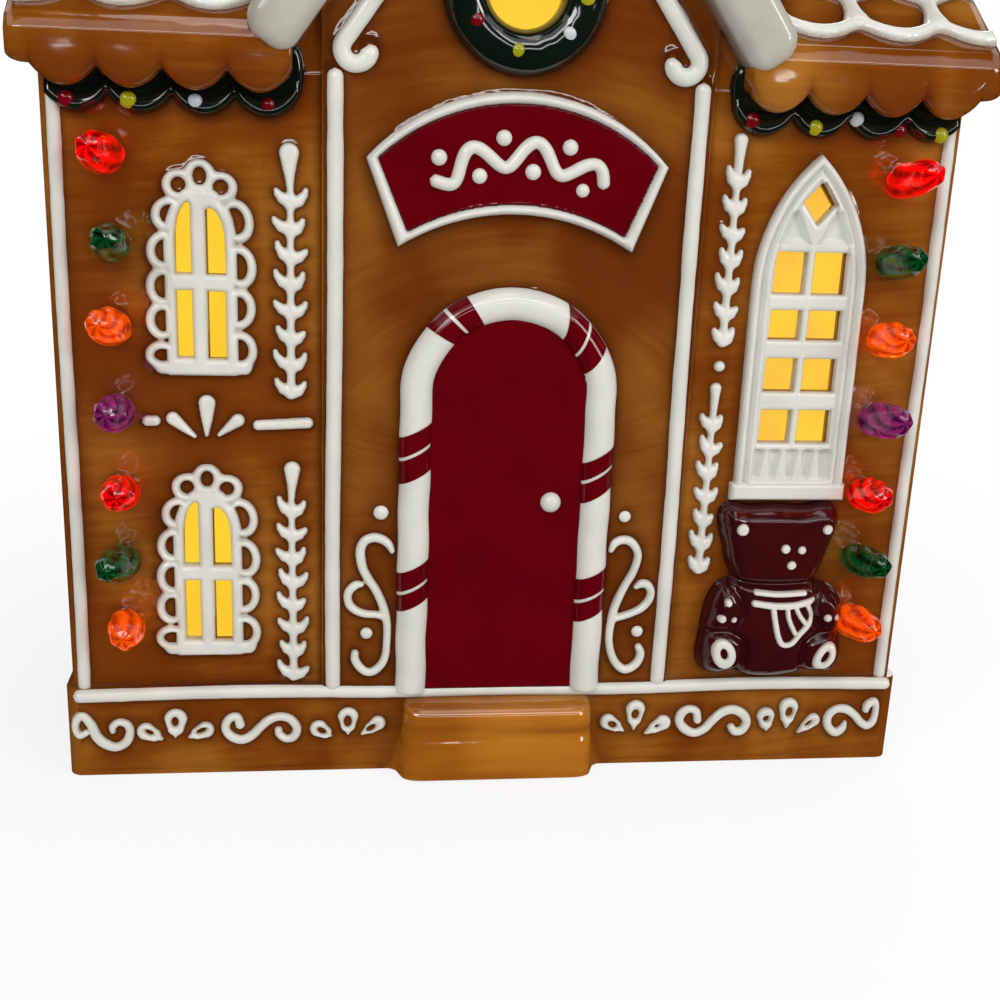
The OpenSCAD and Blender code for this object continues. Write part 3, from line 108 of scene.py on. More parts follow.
class Nodes:
    """Adds nodes to a tree."""

    def __init__(self, tree):
        self.tree = tree

    def fill(self, socket, value):
        """Links a socket to a wire, or gives it a plain value."""
        if isinstance(value, Wire):
            self.tree.links.new(value.socket, socket)
        else:
            socket.default_value = value

    def node(self, kind, sockets=(), output=0, **settings):
        """Adds a node: its settings first, then the values or links of its sockets."""
        made = self.tree.nodes.new(kind)
        for key, value in settings.items():
            setattr(made, key, value)
        for key, value in dict(sockets).items():
            self.fill(made.inputs[key], value)
        return Wire(self, made.outputs[output])

    def maths(self, operation, a, b):
        return self.node("ShaderNodeMath", {0: a, 1: b}, operation=operation)

    def clamp(self, a):
        return self.node("ShaderNodeClamp", {0: a})


def srgb(tone):
    """A colour read in 0 to 255, as the linear colour that a shader takes."""
    return [c / 12.92 if c <= 0.04045 else ((c + 0.055) / 1.055) ** 2.4
            for c in (t / 255 for t in tone)] + [1]


class Finish(Nodes):
    """One material, built from nodes."""

    def __init__(self, name, slot=None):
        self.material = bpy.data.materials.new(name)
        self.material.use_nodes = True
        self.slot = slot or name.replace(" ", "_")
        super().__init__(self.material.node_tree)
        self.shader = self.tree.nodes["Principled BSDF"]

    def mix(self, a, b, share):
        return self.node("ShaderNodeMix", {0: share, 6: a, 7: b}, output=2, data_type="RGBA")

    def place(self, scale=(1, 1, 1)):
        where = self.node("ShaderNodeTexCoord", output=3)
        return self.node("ShaderNodeMapping", {"Vector": where, "Scale": scale})

    def noise(self, where, detail, roughness=0.5, twist=0.0):
        """Noise at a given place, or all over the object at one scale or at three."""
        if not isinstance(where, Wire):
            where = self.place(where if isinstance(where, tuple) else (where, where, where))
        return self.node("ShaderNodeTexNoise", {"Vector": where, "Scale": 1.0, "Detail": detail,
                                                "Roughness": roughness, "Distortion": twist})

    def ramp(self, value, low, high):
        return self.node("ShaderNodeMapRange", {0: value, 1: low, 2: high}, interpolation_type="SMOOTHSTEP")

    def attribute(self, name):
        return self.node("ShaderNodeAttribute", output=2, attribute_name=name)

    def bump(self, height, strength, distance):
        return self.node("ShaderNodeBump", {"Height": height, "Strength": strength, "Distance": distance})

    def shade(self, **values):
        """Sets the shader's sockets, named with low lines for spaces."""
        for key, value in values.items():
            self.fill(self.shader.inputs[key.replace("_", " ")], value)
        return self


def brown_glaze(name, *tones):
    """Clear glaze over a brushed stain: soft clouds, faint strokes, and a dark tone beside relief that is
    glaze pooling together with painted shade.
    """
    f, (deep, body, glow, dark) = Finish(name), map(srgb, tones)
    drift = f.noise((38, 38, 28), 2.0, 0.45, 0.2)
    stroke = f.node("ShaderNodeCombineXYZ", {"X": f.attribute("across") * 0.42,
                                             "Y": f.attribute("along") * 0.035})
    brush = f.noise(stroke, 3.0, 0.6, 0.5)
    fine = f.noise((520, 520, 360), 2.0, 0.6)
    # Paler clouds by noise and, as painted light, a touch paler far from relief, the other side of the
    # painted shade beside it.
    light = f.ramp(drift * 0.78 + brush * 0.22 + fine * 0.05 + f.attribute("field") * 0.03, 0.43, 0.8)
    colour = f.mix(f.mix(deep, body, f.ramp(drift * 0.75 + brush * 0.25, 0.3, 0.62)), glow, light * 0.6)
    # The dark tone goes where glaze pools beside relief, and stands in as painted shade in corners and
    # creases.
    colour = f.mix(colour, dark, f.clamp(f.attribute("pool_and_shade") * (fine * 0.4 + 0.8)))
    wave = f.noise(55, 1.0) + f.noise(240, 1.0) * 0.1 + brush * 0.01
    return f.shade(Base_Color=colour, Roughness=fine * 0.05 + 0.05, Specular_IOR_Level=0.85,
                   Normal=f.bump(wave, 0.5, 0.0012))


def solid_glaze(name, *tones, wavy=0.3, level=0.5, slot=None):
    """Opaque glaze that thins, and lets the stain show, along the rims of relief."""
    f, (thick, thin, edge) = Finish(name, slot), map(srgb, tones)
    cloud = f.noise(70, 3.0, 0.55)
    fine = f.noise(600, 2.0)
    rim = f.clamp(1 - f.attribute("rim") * 2.6)
    colour = f.mix(f.mix(thick, thin, f.ramp(cloud, 0.35, 0.75)), edge, rim * (fine * 0.6 + 0.3))
    wave = f.noise(110, 1.5) + fine * 0.05
    return f.shade(Base_Color=colour, Roughness=fine * 0.05 + 0.07, Specular_IOR_Level=level,
                   Normal=f.bump(wave, wavy, 0.0008))


def clear_plastic(name, glow, *tones):
    """Tinted clear plastic lit from its foot: painted shade makes it deep in the grooves and swirls, and a
    painted highlight makes its glow pale on the ridges.
    """
    f, (colour, deep, pale) = Finish(name), map(srgb, tones)
    swirl = f.noise(260, 2.0, 0.5, 1.5)
    groove = f.attribute("groove")
    tint = f.mix(colour, deep, f.clamp(f.ramp(groove, 0.35, 0.95) * 0.9 + swirl * 1.6 - 0.8))
    ridge_highlight = f.mix(tint, pale, f.ramp(groove, 0.07, 0.0) * 0.2)
    return f.shade(Base_Color=tint, Roughness=swirl * 0.04 + 0.02, Transmission_Weight=0.85, IOR=1.49,
                   Emission_Color=ridge_highlight, Emission_Strength=glow, Specular_IOR_Level=0.6,
                   Normal=f.bump(swirl, 0.12, 0.0006))


def moulded(name, colour, worn, roughness=0.42, metal=0.0, grain=2500, depth=0.00004):
    """Moulded or drawn small parts: a fine tooth and slight unevenness of tone."""
    f = Finish(name)
    tooth, cloud = f.noise(grain, 2.0), f.noise(80, 3.0)
    return f.shade(Base_Color=f.mix(srgb(colour), srgb(worn), f.ramp(cloud, 0.4, 0.7) * 0.5), Metallic=metal,
                   Roughness=tooth * 0.15 + (roughness - 0.07), Normal=f.bump(tooth, 0.25, depth))


def lit_film(name, top, low, slot=None):
    """Yellow film with the lamps' light behind it."""
    f = Finish(name, slot)
    soft = f.noise((60, 60, 40), 2.0)
    return f.shade(Base_Color=[0.02, 0.012, 0.002, 1], Roughness=soft * 0.1 + 0.3,
                   Emission_Strength=FILM_GLOW,
                   Emission_Color=f.mix(srgb(top), srgb(low), f.ramp(soft, 0.35, 0.7)))


# Each brown: its deep tone, its body, its paler cloud tone, and its dark tone for glaze pooling and painted
# shade.
BROWN = brown_glaze("brown glaze", (108, 52, 7), (122, 64, 11), (182, 126, 48), (72, 28, 7))
AMBER = brown_glaze("amber glaze", (140, 80, 16), (164, 100, 24), (184, 122, 42), (92, 44, 10))
# A greyer copy of the white glaze for the barge boards: painted shade.
SHADED_WHITE = solid_glaze("thin white glaze", (172, 170, 160), (154, 150, 140), (108, 84, 60),
                         slot="white_glaze")
WHITE = solid_glaze("white glaze", (207, 209, 201), (197, 200, 191), (140, 113, 79))
MAROON = solid_glaze("maroon glaze", (92, 0, 12), (84, 0, 10), (44, 2, 6), wavy=0.12, level=0.4)
PINE = solid_glaze("pine glaze", (10, 22, 15), (7, 17, 11), (14, 14, 8), level=0.9)
COCOA = solid_glaze("cocoa glaze", (56, 10, 12), (48, 8, 10), (28, 4, 5), wavy=0.22)
BERRIES = {tone: solid_glaze("berry " + tone, *tones, wavy=0.1, slot="berry_glaze") for tone, *tones in (
    ("red", (110, 4, 14), (96, 4, 12), (40, 6, 8)),
    ("yellow", (150, 148, 20), (136, 136, 20), (60, 70, 16)),
    ("white", (180, 188, 192), (166, 176, 182), (70, 80, 76)))}
FILM = lit_film("warm film", (255, 209, 50), (253, 200, 44))
FILM_DEEP = lit_film("warm film right", (255, 209, 60), (252, 188, 66), "warm_film")
# Each bulb: its tone, its glow, its colour, the painted shade of its grooves, and the painted highlight of
# its ridges.
BULBS = {tone: clear_plastic(tone + " plastic", *rest) for tone, *rest in (
    ("red", 0.42, (248, 2, 3), (112, 0, 1), (255, 110, 100)),
    ("green", 0.2, (12, 98, 44), (0, 28, 10), (110, 205, 150)),
    ("orange", 0.42, (250, 96, 0), (160, 42, 0), (255, 196, 110)),
    ("purple", 0.32, (146, 44, 114), (50, 4, 54), (205, 140, 205)))}
SMALL = {finish.slot: finish for finish in (
    moulded("case plastic", (232, 232, 224), (222, 220, 210)),
    moulded("cell jacket", (52, 58, 68), (44, 48, 56), 0.25),
    moulded("contact metal", (200, 200, 202), (180, 182, 186), 0.3, 1.0),
    moulded("knob plastic", (26, 26, 26), (34, 34, 34), 0.45),
    moulded("board green", (26, 92, 48), (20, 76, 40), 0.3),
    moulded("lamp resin", (248, 242, 216), (240, 230, 200), 0.12),
    moulded("gasket foam", (206, 204, 198), (192, 190, 184), 0.8, 0, 900, 0.0002))}


# Pieces

def mark(mesh, key, values):
    """Gives every point of a mesh its own number."""
    mesh.attributes.new(key, "FLOAT", "POINT").data.foreach_set("value", np.asarray(values, np.float32))


def piece(name, points, faces, finish, nodes, attributes):
    """Makes a mesh from places in millimetres, and says what it rides on and stands for."""
    mesh = bpy.data.meshes.new(name)
    points = np.asarray(points, float) * MM
    counts = [len(f) for f in faces]
    mesh.vertices.add(len(points))
    mesh.vertices.foreach_set("co", points.ravel())
    mesh.loops.add(sum(counts))
    mesh.loops.foreach_set("vertex_index", np.concatenate([np.asarray(f) for f in faces]))
    mesh.polygons.add(len(counts))
    mesh.polygons.foreach_set("loop_start", np.concatenate([[0], np.cumsum(counts)[:-1]]))
    mesh.update(calc_edges=True)
    mesh.validate()
    mesh.shade_smooth()
    for key, values in attributes.items():
        mark(mesh, key, values)
    return stand(bpy.data.objects.new(name, mesh), finish, nodes)


def stand(obj, finish, nodes):
    """Puts a made piece on the house in its finish."""
    bpy.context.scene.collection.objects.link(obj)
    obj.data.materials.clear()
    obj.data.materials.append(finish.material)
    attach(obj, HOUSE)
    if nodes:
        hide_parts(*nodes)
    return obj


def outward(obj, crease=2 * pi):
    """Turns every face outward; where a crease angle is given, edges that bend more stay crisp."""
    bm = bmesh.new()
    bm.from_mesh(obj.data)
    bmesh.ops.recalc_face_normals(bm, faces=bm.faces)
    for edge in bm.edges:
        edge.smooth = edge.calc_face_angle(0.0) < crease
    bm.to_mesh(obj.data)
    bm.free()
    return obj


def grid_faces(rows, columns, closed=False):
    """Quads of a grid whose points run column by column within each row."""
    last = columns if closed else columns - 1
    r, c = np.meshgrid(np.arange(rows - 1), np.arange(last), indexing="ij")
    a, b = r * columns + c, r * columns + (c + 1) % columns
    return np.stack([a, b, b + columns, a + columns], -1).reshape(-1, 4)


def kept(quads):
    """The points that these faces use, and the faces counted over those alone."""
    used, again = np.unique(quads, return_inverse=True)
    return used, list(again.reshape(-1, 4))


# Flat shapes: each tells how far inside its edge a point lies, in millimetres

class Shape:
    def __init__(self, field, box):
        self.field, self.box = field, box

    def __or__(self, other):
        a, b = self.box, other.box
        box = (min(a[0], b[0]), max(a[1], b[1]), min(a[2], b[2]), max(a[3], b[3]))
        return Shape(lambda x, z: np.maximum(self.near(x, z), other.near(x, z)), box)

    def __sub__(self, other):
        return Shape(lambda x, z: np.minimum(self.field(x, z), -other.near(x, z)), self.box)

    def near(self, x, z, reach=REACH):
        """The field, worked out only near the shape."""
        a = self.box
        hit = (x > a[0] - reach) & (x < a[1] + reach) & (z > a[2] - reach) & (z < a[3] + reach)
        found = np.full(x.shape, -reach)
        if hit.any():
            found[hit] = np.maximum(self.field(x[hit], z[hit]), -reach)
        return found

    def moved(self, dx, dz):
        a = self.box
        return Shape(lambda x, z: self.field(x - dx, z - dz), (a[0] + dx, a[1] + dx, a[2] + dz, a[3] + dz))

    def mirrored(self):
        a = self.box
        return Shape(lambda x, z: self.field(-x, z), (-a[1], -a[0], a[2], a[3]))

    def grown(self, g):
        a = self.box
        return Shape(lambda x, z: self.field(x, z) + g, (a[0] - g, a[1] + g, a[2] - g, a[3] + g))


def box_round(p, g=0.0):
    return p[:, 0].min() - g, p[:, 0].max() + g, p[:, 1].min() - g, p[:, 1].max() + g


def beside(x, z, a, b):
    """The nearest place on a straight piece for each point: its share of the way, and the offset from it."""
    dx, dz = b[0] - a[0], b[1] - a[1]
    t = np.clip(((x - a[0]) * dx + (z - a[1]) * dz) / (dx * dx + dz * dz + 1e-12), 0, 1)
    return t, x - a[0] - t * dx, z - a[1] - t * dz


def polygon(points):
    p = np.array(points, float)

    def field(x, z):
        best, inside = np.full(x.shape, 1e9), np.zeros(x.shape, bool)
        for a, b in zip(p, np.roll(p, -1, 0)):
            t, ex, ez = beside(x, z, a, b)
            best = np.minimum(best, ex ** 2 + ez ** 2)
            if b[1] != a[1]:
                crossing = (b[0] - a[0]) * (z - a[1]) / (b[1] - a[1]) + a[0]
                inside ^= ((a[1] > z) != (b[1] > z)) & (x < crossing)
        return np.where(inside, 1, -1) * np.sqrt(best)
    return Shape(field, box_round(p))


def disc(x0, z0, r):
    return Shape(lambda x, z: r - np.hypot(x - x0, z - z0), (x0 - r, x0 + r, z0 - r, z0 + r))


def oval(x0, z0, rx, rz, lean):
    c, s, r = cos(lean), sin(lean), max(rx, rz)

    def field(x, z):
        u, v = (x - x0) * c + (z - z0) * s, (z - z0) * c - (x - x0) * s
        return (1 - np.hypot(u / rx, v / rz)) * min(rx, rz)
    return Shape(field, (x0 - r, x0 + r, z0 - r, z0 + r))


def line(points, widths):
    """A piped line through points; the widths may differ from point to point."""
    p = np.array(points, float)
    w = np.array(widths if hasattr(widths, "__len__") else [widths] * len(p), float)

    def field(x, z):
        best = np.full(x.shape, -1e9)
        for a, b, wa, wb in zip(p, p[1:], w, w[1:]):
            t, ex, ez = beside(x, z, a, b)
            best = np.maximum(best, (wa + (wb - wa) * t) / 2 - np.hypot(ex, ez))
        return best
    return Shape(field, box_round(p, w.max() / 2))


def smooth(points, steps):
    """A smooth curve through the points."""
    p = np.array(points, float)
    out = []
    for i in range(len(p) - 1):
        a, b, c, d = p[max(i - 1, 0)], p[i], p[i + 1], p[min(i + 2, len(p) - 1)]
        for k in range(steps):
            t = k / steps
            bend = (c - a) * t + (2 * a - 5 * b + 4 * c - d) * t * t + (3 * b - a - 3 * c + d) * t ** 3
            out.append(b + bend / 2)
    return out + [p[-1]]


def arc(x0, z0, r, a0, a1, steps):
    """Part of a circle between two angles in degrees."""
    angles = [radians(a0 + (a1 - a0) * i / steps) for i in range(steps + 1)]
    return [(x0 + r * cos(a), z0 + r * sin(a)) for a in angles]


def pillow(f, radius, height):
    """A rounded rise from the rim: full height once it's a radius inside."""
    t = np.clip(f / radius, 0, 1)
    return height * np.sqrt(1 - (1 - t) ** 2)


def all_of(shapes):
    whole = shapes[0]
    for s in shapes[1:]:
        whole = whole | s
    return whole


def melt(shapes, k):
    """Shapes that run together, as wet glaze does, with fillets that are smaller for a higher k."""
    reach = 4.0

    def field(x, z):
        total = np.zeros(x.shape)
        for s in shapes:
            f = s.near(x, z, reach)
            total += np.where(f > -reach, np.exp(np.minimum(f, 8.0) * k), 0)
        return np.where(total > 0, np.log(np.maximum(total, 1e-12)) / k, -REACH)
    boxes = np.array([s.box for s in shapes])
    low, high = boxes.min(0) - 0.6, boxes.max(0) + 0.6
    return Shape(field, (low[0], high[1], low[2], high[3]))


def closed(points):
    """A smooth closed curve through the points."""
    steps = 5
    return smooth(points[-1:] + points + points[:2], steps)[steps:steps * (len(points) + 1)]


def stroke(points):
    """A piped line through places that each give their own width."""
    p = np.array(smooth(points, 5))
    return line(p[:, :2], p[:, 2])


def on_front(out):
    """Places on the front wall, or on what stands out from it."""
    return lambda x, z, h: np.stack([x, FRONT - out - h, z], -1)


def on_roof(side):
    """Places on a roof slope, seen square on: across it, and up it from the eave."""
    def place(x, u, h):
        y, z = -EAVE_Y + u * cos(PITCH) - h * sin(PITCH), FASCIA + u * sin(PITCH) + h * cos(PITCH)
        return np.stack([x * side, y * side + MID, z], -1)
    return place


def wander(x, z, seed=0.0):
    """Slow unevenness of hand work, about 1 at most."""
    return (np.sin(x * 0.21 + seed) * np.cos(z * 0.17 - seed * 1.3) + np.sin(x * 0.09 - z * 0.13 + seed * 2.1)
            + 0.5 * np.sin(x * 0.47 + z * 0.39 + seed)) / 2.5


def iced(radius, height, uneven=0.0, scale=1.0):
    """The height of piped icing: a rounded rise with the unevenness of hand work on it."""
    return lambda f, x, z: pillow(f, radius, height) + uneven * wander(x * scale, z * scale)


def panel(rise, edge, uneven):
    """The height of a flat panel whose glaze stands a little higher along its edge."""
    return lambda f, x, z: rise + edge * np.exp(-f / 0.7) + uneven * wander(x, z)


def relief(name, shape, height, cell, place, finish, nodes, drop=0.25, deep=None):
    """A raised form over a flat shape, on a grid whose rim is drawn in to the shape's own edge."""
    x0, x1, z0, z1 = shape.box
    x, z = np.meshgrid(np.arange(x0 - 2 * cell, x1 + 3 * cell, cell),
                       np.arange(z0 - 2 * cell, z1 + 3 * cell, cell))
    f = shape.field(x, z)
    gz, gx = np.gradient(f, cell)
    out = f < 0
    step = np.where(out, np.minimum(-f, 1.5 * cell), 0) / np.maximum(np.hypot(gx, gz), 1e-6)
    sunk = np.full(x.shape, -drop)
    if deep:
        sunk = np.where(deep[0].field(x, z) > -cell * 1.5, -deep[1], sunk)
    h = np.where(out, sunk, height(np.maximum(f, 0), x, z))
    x, z = x + gx * step, z + gz * step
    quads = grid_faces(*x.shape)
    used, faces = kept(quads[~out.ravel()[quads].all(1)])
    points = place(x.ravel()[used], z.ravel()[used], h.ravel()[used])
    return piece(name, points, faces, finish, nodes, {"rim": np.maximum(f, 0).ravel()[used]})


# Geometry Nodes: piped lines and dabs

class Tree(Nodes):
    """One Geometry Nodes tree with named inputs."""

    def __init__(self, name, inputs):
        super().__init__(bpy.data.node_groups.new(name, "GeometryNodeTree"))
        face = self.tree.interface
        face.new_socket("Geometry", in_out="INPUT", socket_type="NodeSocketGeometry")
        self.keys = {}
        for label, kind, value in inputs:
            made = face.new_socket(label, in_out="INPUT", socket_type="NodeSocket" + kind)
            if value is not None:
                made.default_value = value
            self.keys[label] = made.identifier
        face.new_socket("Geometry", in_out="OUTPUT", socket_type="NodeSocketGeometry")
        given = self.tree.nodes.new("NodeGroupInput").outputs
        self.given = {socket.name: Wire(self, socket) for socket in given}

    def end(self, geometry):
        """Makes the copies real, gives them their glaze and hands the result out."""
        real = self.node("GeometryNodeRealizeInstances", {0: geometry})
        done = self.node("GeometryNodeSetMaterial", {"Geometry": real, "Material": self.given["Glaze"]})
        self.fill(self.tree.nodes.new("NodeGroupOutput").inputs[0], done)

    def apply(self, obj, values):
        """Runs the tree on an object and gives back a plain mesh."""
        modifier = obj.modifiers.new("work", "NODES")
        modifier.node_group = self.tree
        for label, value in values.items():
            modifier[self.keys[label]] = value
        bpy.context.scene.collection.objects.link(obj)
        obj.update_tag()
        bpy.context.view_layer.update()
        mesh = bpy.data.meshes.new_from_object(obj.evaluated_get(bpy.context.evaluated_depsgraph_get()))
        obj.modifiers.clear()
        bpy.data.objects.remove(obj)
        return mesh


def make_piping_tree():
    """A half-round bead along each curve, uneven in width and height, with round ends."""
    t = Tree("Piped line", [("Width", "Float", 0.002), ("Height", "Float", 0.0014), ("Wobble", "Float", 0.1),
                            ("Seed", "Float", 1.0), ("Glaze", "Material", None)])
    g = t.given
    curve = t.node("GeometryNodeResampleCurve", {"Curve": g["Geometry"], "Length": 0.0005}, mode="LENGTH")
    curve = t.node("GeometryNodeSetCurveNormal", {"Curve": curve}, mode="Z_UP")
    noise = t.node("ShaderNodeTexNoise",
                   {"Vector": t.node("GeometryNodeInputPosition"), "W": g["Seed"], "Scale": 170.0,
                    "Detail": 1.0}, noise_dimensions="4D")
    uneven = (noise - 0.5) * g["Wobble"] + 1.0
    along = t.node("GeometryNodeSplineParameter", output=1)
    end = t.maths("MINIMUM", along, t.node("GeometryNodeSplineLength") - along)
    share = t.clamp(1.0 - end / (g["Width"] * 0.5))
    radius = uneven * t.node("ShaderNodeMath", {0: 1.002 - share * share}, operation="SQRT")
    curve = t.node("GeometryNodeSetCurveRadius", {"Curve": curve, "Radius": radius})
    bead = t.node("GeometryNodeCurveArc",
                  {"Resolution": 13, "Radius": 1.0, "Start Angle": 0.0, "Sweep Angle": pi})
    size = t.node("ShaderNodeCombineXYZ", {"X": g["Width"] * 0.5, "Y": g["Height"], "Z": 1.0})
    bead = t.node("GeometryNodeTransform", {"Geometry": bead, "Scale": size})
    mesh = t.node("GeometryNodeCurveToMesh", {"Curve": curve, "Profile Curve": bead})
    inputs = mesh.socket.node.inputs
    if "Scale" in inputs:
        t.fill(inputs["Scale"], radius)
    t.end(t.node("GeometryNodeSetShadeSmooth", {"Geometry": mesh}))
    return t


def make_dab_tree():
    """A round dab on each point, each a little larger or smaller."""
    t = Tree("Dabs", [("Size", "Float", 0.0017), ("Rise", "Float", 0.8), ("Wobble", "Float", 0.12),
                      ("Seed", "Int", 3), ("Glaze", "Material", None)])
    g = t.given
    dab = t.node("GeometryNodeMeshIcoSphere", {"Radius": 1.0, "Subdivisions": 4})
    one = t.node("FunctionNodeRandomValue", {2: 1.0 - g["Wobble"], 3: 1.0 + g["Wobble"], "Seed": g["Seed"]},
                 output=1)
    size = g["Size"] * one * t.node("GeometryNodeInputNamedAttribute", {"Name": "size"})
    scale = t.node("ShaderNodeCombineXYZ", {"X": size, "Y": size, "Z": size * g["Rise"]})
    made = t.node("GeometryNodeInstanceOnPoints", {"Points": g["Geometry"], "Instance": dab, "Scale": scale})
    t.end(t.node("GeometryNodeSetShadeSmooth", {"Geometry": made}))
    return t


PIPING, DABS = make_piping_tree(), make_dab_tree()


def flat_to_front(out):
    """Turns work laid out flat, X and Z on the table, up against the front wall."""
    return Matrix.Translation((0, (FRONT - out) * MM, 0)) @ Matrix.Rotation(pi / 2, 4, "X")


def pipe_mesh(lines, width, height, wobble, seed):
    """Lines piped flat on the table, turned over where the bead came out upside down."""
    data = bpy.data.curves.new("work", "CURVE")
    data.dimensions = "3D"
    for points in lines:
        spline = data.splines.new("POLY")
        spline.points.add(len(points) - 1)
        for p, (x, z) in zip(spline.points, points):
            p.co = (x * MM, z * MM, 0, 1)
    mesh = PIPING.apply(bpy.data.objects.new("work", data), {
        "Width": width * MM, "Height": height * MM, "Wobble": wobble, "Seed": seed, "Glaze": WHITE.material})
    places = np.zeros(len(mesh.vertices) * 3)
    mesh.vertices.foreach_get("co", places)
    if places[2::3].min() < -0.01 * MM:
        mesh.transform(Matrix.Scale(-1, 4, (0, 0, 1)))
        mesh.flip_normals()
    return mesh


def joined(name, parts):
    """One mesh from several, each with the matrix that puts it in place."""
    work = bmesh.new()
    for mesh, matrix in parts:
        mesh.transform(matrix)
        work.from_mesh(mesh)
    whole = bpy.data.meshes.new(name)
    work.to_mesh(whole)
    work.free()
    whole.shade_smooth()
    mark(whole, "rim", np.full(len(whole.vertices), DEEP_RIM))
    return whole


def piping(name, groups, nodes):
    """Piped lines, in groups of lines, width, height, how far out they lie, unevenness and seed."""
    parts = []
    for lines, width, height, out, wobble, seed, *turn in groups:
        place = flat_to_front(out)
        parts.append((pipe_mesh(lines, width, height, wobble, seed), turn[0] @ place if turn else place))
    return outward(stand(bpy.data.objects.new(name, joined(name, parts)), WHITE, nodes))


def dabs(name, spots, size, rise, out, finish, nodes=(), seed=3):
    """Round dabs, each with its place, its lift and its own size."""
    mesh = bpy.data.meshes.new("work")
    mesh.from_pydata([(x * MM, z * MM, h * MM) for x, z, h, s in spots], [], [])
    mark(mesh, "size", [s for x, z, h, s in spots])
    made = DABS.apply(bpy.data.objects.new("work", mesh),
                      {"Size": size * MM, "Rise": rise, "Seed": seed, "Glaze": finish.material})
    return stand(bpy.data.objects.new(name, joined(name, [(made, flat_to_front(out))])), finish, nodes)


standing = []


def stands(shape):
    """Keeps a shape that stands on the front wall, so that the glaze beside it is darkened by pooling and by
    painted shade.
    """
    standing.append(shape)


def mirrored(points):
    return [(-x, z) for x, z in points]


# Lace windows

LACE_X, LACE_OUT, PANE_DEPTH = -67.0, 1.9, 1.3

# Each pierced hole of the lace: its middle, its two radii and its lean
HOLES = [(-9.0, 4.0, 1.3, 1.35, 0.0), (-8.8, 11.4, 1.15, 2.4, 0.05), (-8.5, 18.7, 1.2, 2.5, 0.05),
         (-8.1, 26.3, 1.25, 2.4, -0.1),
         (-6.9, 33.9, 1.2, 2.0, -0.35), (-4.2, 40.0, 1.5, 1.6, 0.0), (0.2, 41.9, 1.4, 1.9, 0.0),
         (4.5, 39.7, 1.6, 1.6, 0.0),
         (8.0, 32.8, 1.3, 2.9, 0.2), (8.6, 23.2, 1.2, 2.9, 0.1), (8.3, 14.2, 1.25, 2.7, -0.05),
         (8.5, 5.3, 1.25, 2.4, 0.1)]


def lace_parts(dx, dz):
    """The window's whole outline with its pierced scallops, and its four panes."""
    half, spring = 7.0, 28
    arched = [(-half * cos(a), spring + 11.6 * sin(a)) for a in np.linspace(0.05, pi - 0.05, 16)]
    body = polygon([(-half, -0.2), (-half, spring)] + arched + [(half, spring), (half, -0.2)])
    scallops = [oval(x, z, rx + 1.95, rz + 1.6, lean) for x, z, rx, rz, lean in HOLES]
    holes = []
    for x, z, rx, rz, lean in HOLES:
        aside = abs(x) > 6
        hole = oval(x - 0.6 * np.sign(x) * aside, z, rx * (1.4 if aside else 0.92), rz * 0.92, lean)
        holes.append(hole - body.grown(0.7))
    whole = melt([body, line([(-8.6, 1.5), (8.8, 1.5)], 3.4)] + scallops, 2.6) - all_of(holes)
    left = [(-5.3 + 3.0 * (1 - cos(a)), spring + 8.6 * sin(a)) for a in np.linspace(0, pi / 2, 8)]
    right = [(5.2 - 3.2 * (1 - cos(a)), spring + 7.4 * sin(a)) for a in np.linspace(0, pi / 2, 8)]
    panes = [polygon([(-5.3, 3.5), (-1.85, 3.5), (-1.9, 18.1), (-5.3, 18.0)]),
             polygon([(1.2, 3.3), (5.15, 3.3), (5.1, 17.9), (1.25, 18.0)]),
             polygon([(-1.9, 21.6), (-5.3, 21.6)] + left + [(-1.9, 36.0)]),
             polygon([(1.2, 21.5), (5.2, 21.5)] + right + [(1.2, 35.0)])]
    return whole.moved(dx, dz), all_of(panes).grown(-0.12).moved(dx, dz)


for label, foot_z in (("upper", 96.0), ("lower", 30.3)):
    whole, panes = lace_parts(LACE_X, foot_z)
    stands(whole)
    relief("lace_window_" + label + "_icing", whole - panes, iced(1.2, LACE_OUT, 0.14, 3), 0.22, on_front(0),
           WHITE, ["lace_window_" + label], deep=(panes, PANE_DEPTH))

# Tall pointed window

TALL_X, TALL_Z, TALL_HALF, TALL_H, SPRING = 66.8, 67.8, 13.2, 79.0, 50.0


def pointed(half, foot, spring, top):
    """A pointed arch on straight sides."""
    rise = top - spring
    r = (half * half + rise * rise) / (2 * half)
    side = arc(half - r, spring, r, 0, degrees(asin(rise / r)), 14)
    return polygon([(half, foot)] + side + mirrored(side[-2::-1]) + [(-half, foot)])


def tall_parts():
    """The window's outline, its sill, its panes and the blind hollows over them."""
    outline = pointed(TALL_HALF, 1.0, SPRING, TALL_H)
    sill = polygon([(-14.1, 0.0), (13.7, 0.0), (13.7, 4.4), (-14.1, 4.4)])
    rows = [(13.8, 21.7), (25.9, 33.7), (37.9, 44.7), (48.3, 57.6)]
    panes = []
    for low, high in rows:
        panes.append(polygon([(-8.4, low), (-1.1, low), (-1.0, high), (-8.2, high)]))
        panes.append(polygon([(0.6, low), (8.4, low), (8.3, high), (0.7, high)]))
    panes.append(polygon([(0.5, 63.6), (4.4, 68.2), (1.0, 73.2), (-3.2, 68.6)]))
    blind = [polygon([(-8.2, 59.6), (-1.0, 59.6), (-4.2, 66.6), (-5.6, 66.4)]),
             polygon([(1.1, 59.6), (8.6, 59.6), (6.0, 66.4), (4.6, 66.6)])]
    return outline, sill, all_of(panes), all_of(blind)


outline, sill, panes, blind = [s.moved(TALL_X, TALL_Z) for s in tall_parts()]
teeth = all_of([line([(TALL_X + dx, 73.6), (TALL_X + dx, 79.4)], [1.0, 2.6])
                for dx in (-8.0, -4.1, -0.1, 3.9, 7.9)])
recess = polygon([(TALL_X - 9.8, 72.9), (TALL_X + 9.8, 72.9), (TALL_X + 9.8, 80.2), (TALL_X - 9.8, 80.2)])
stands(outline | sill)


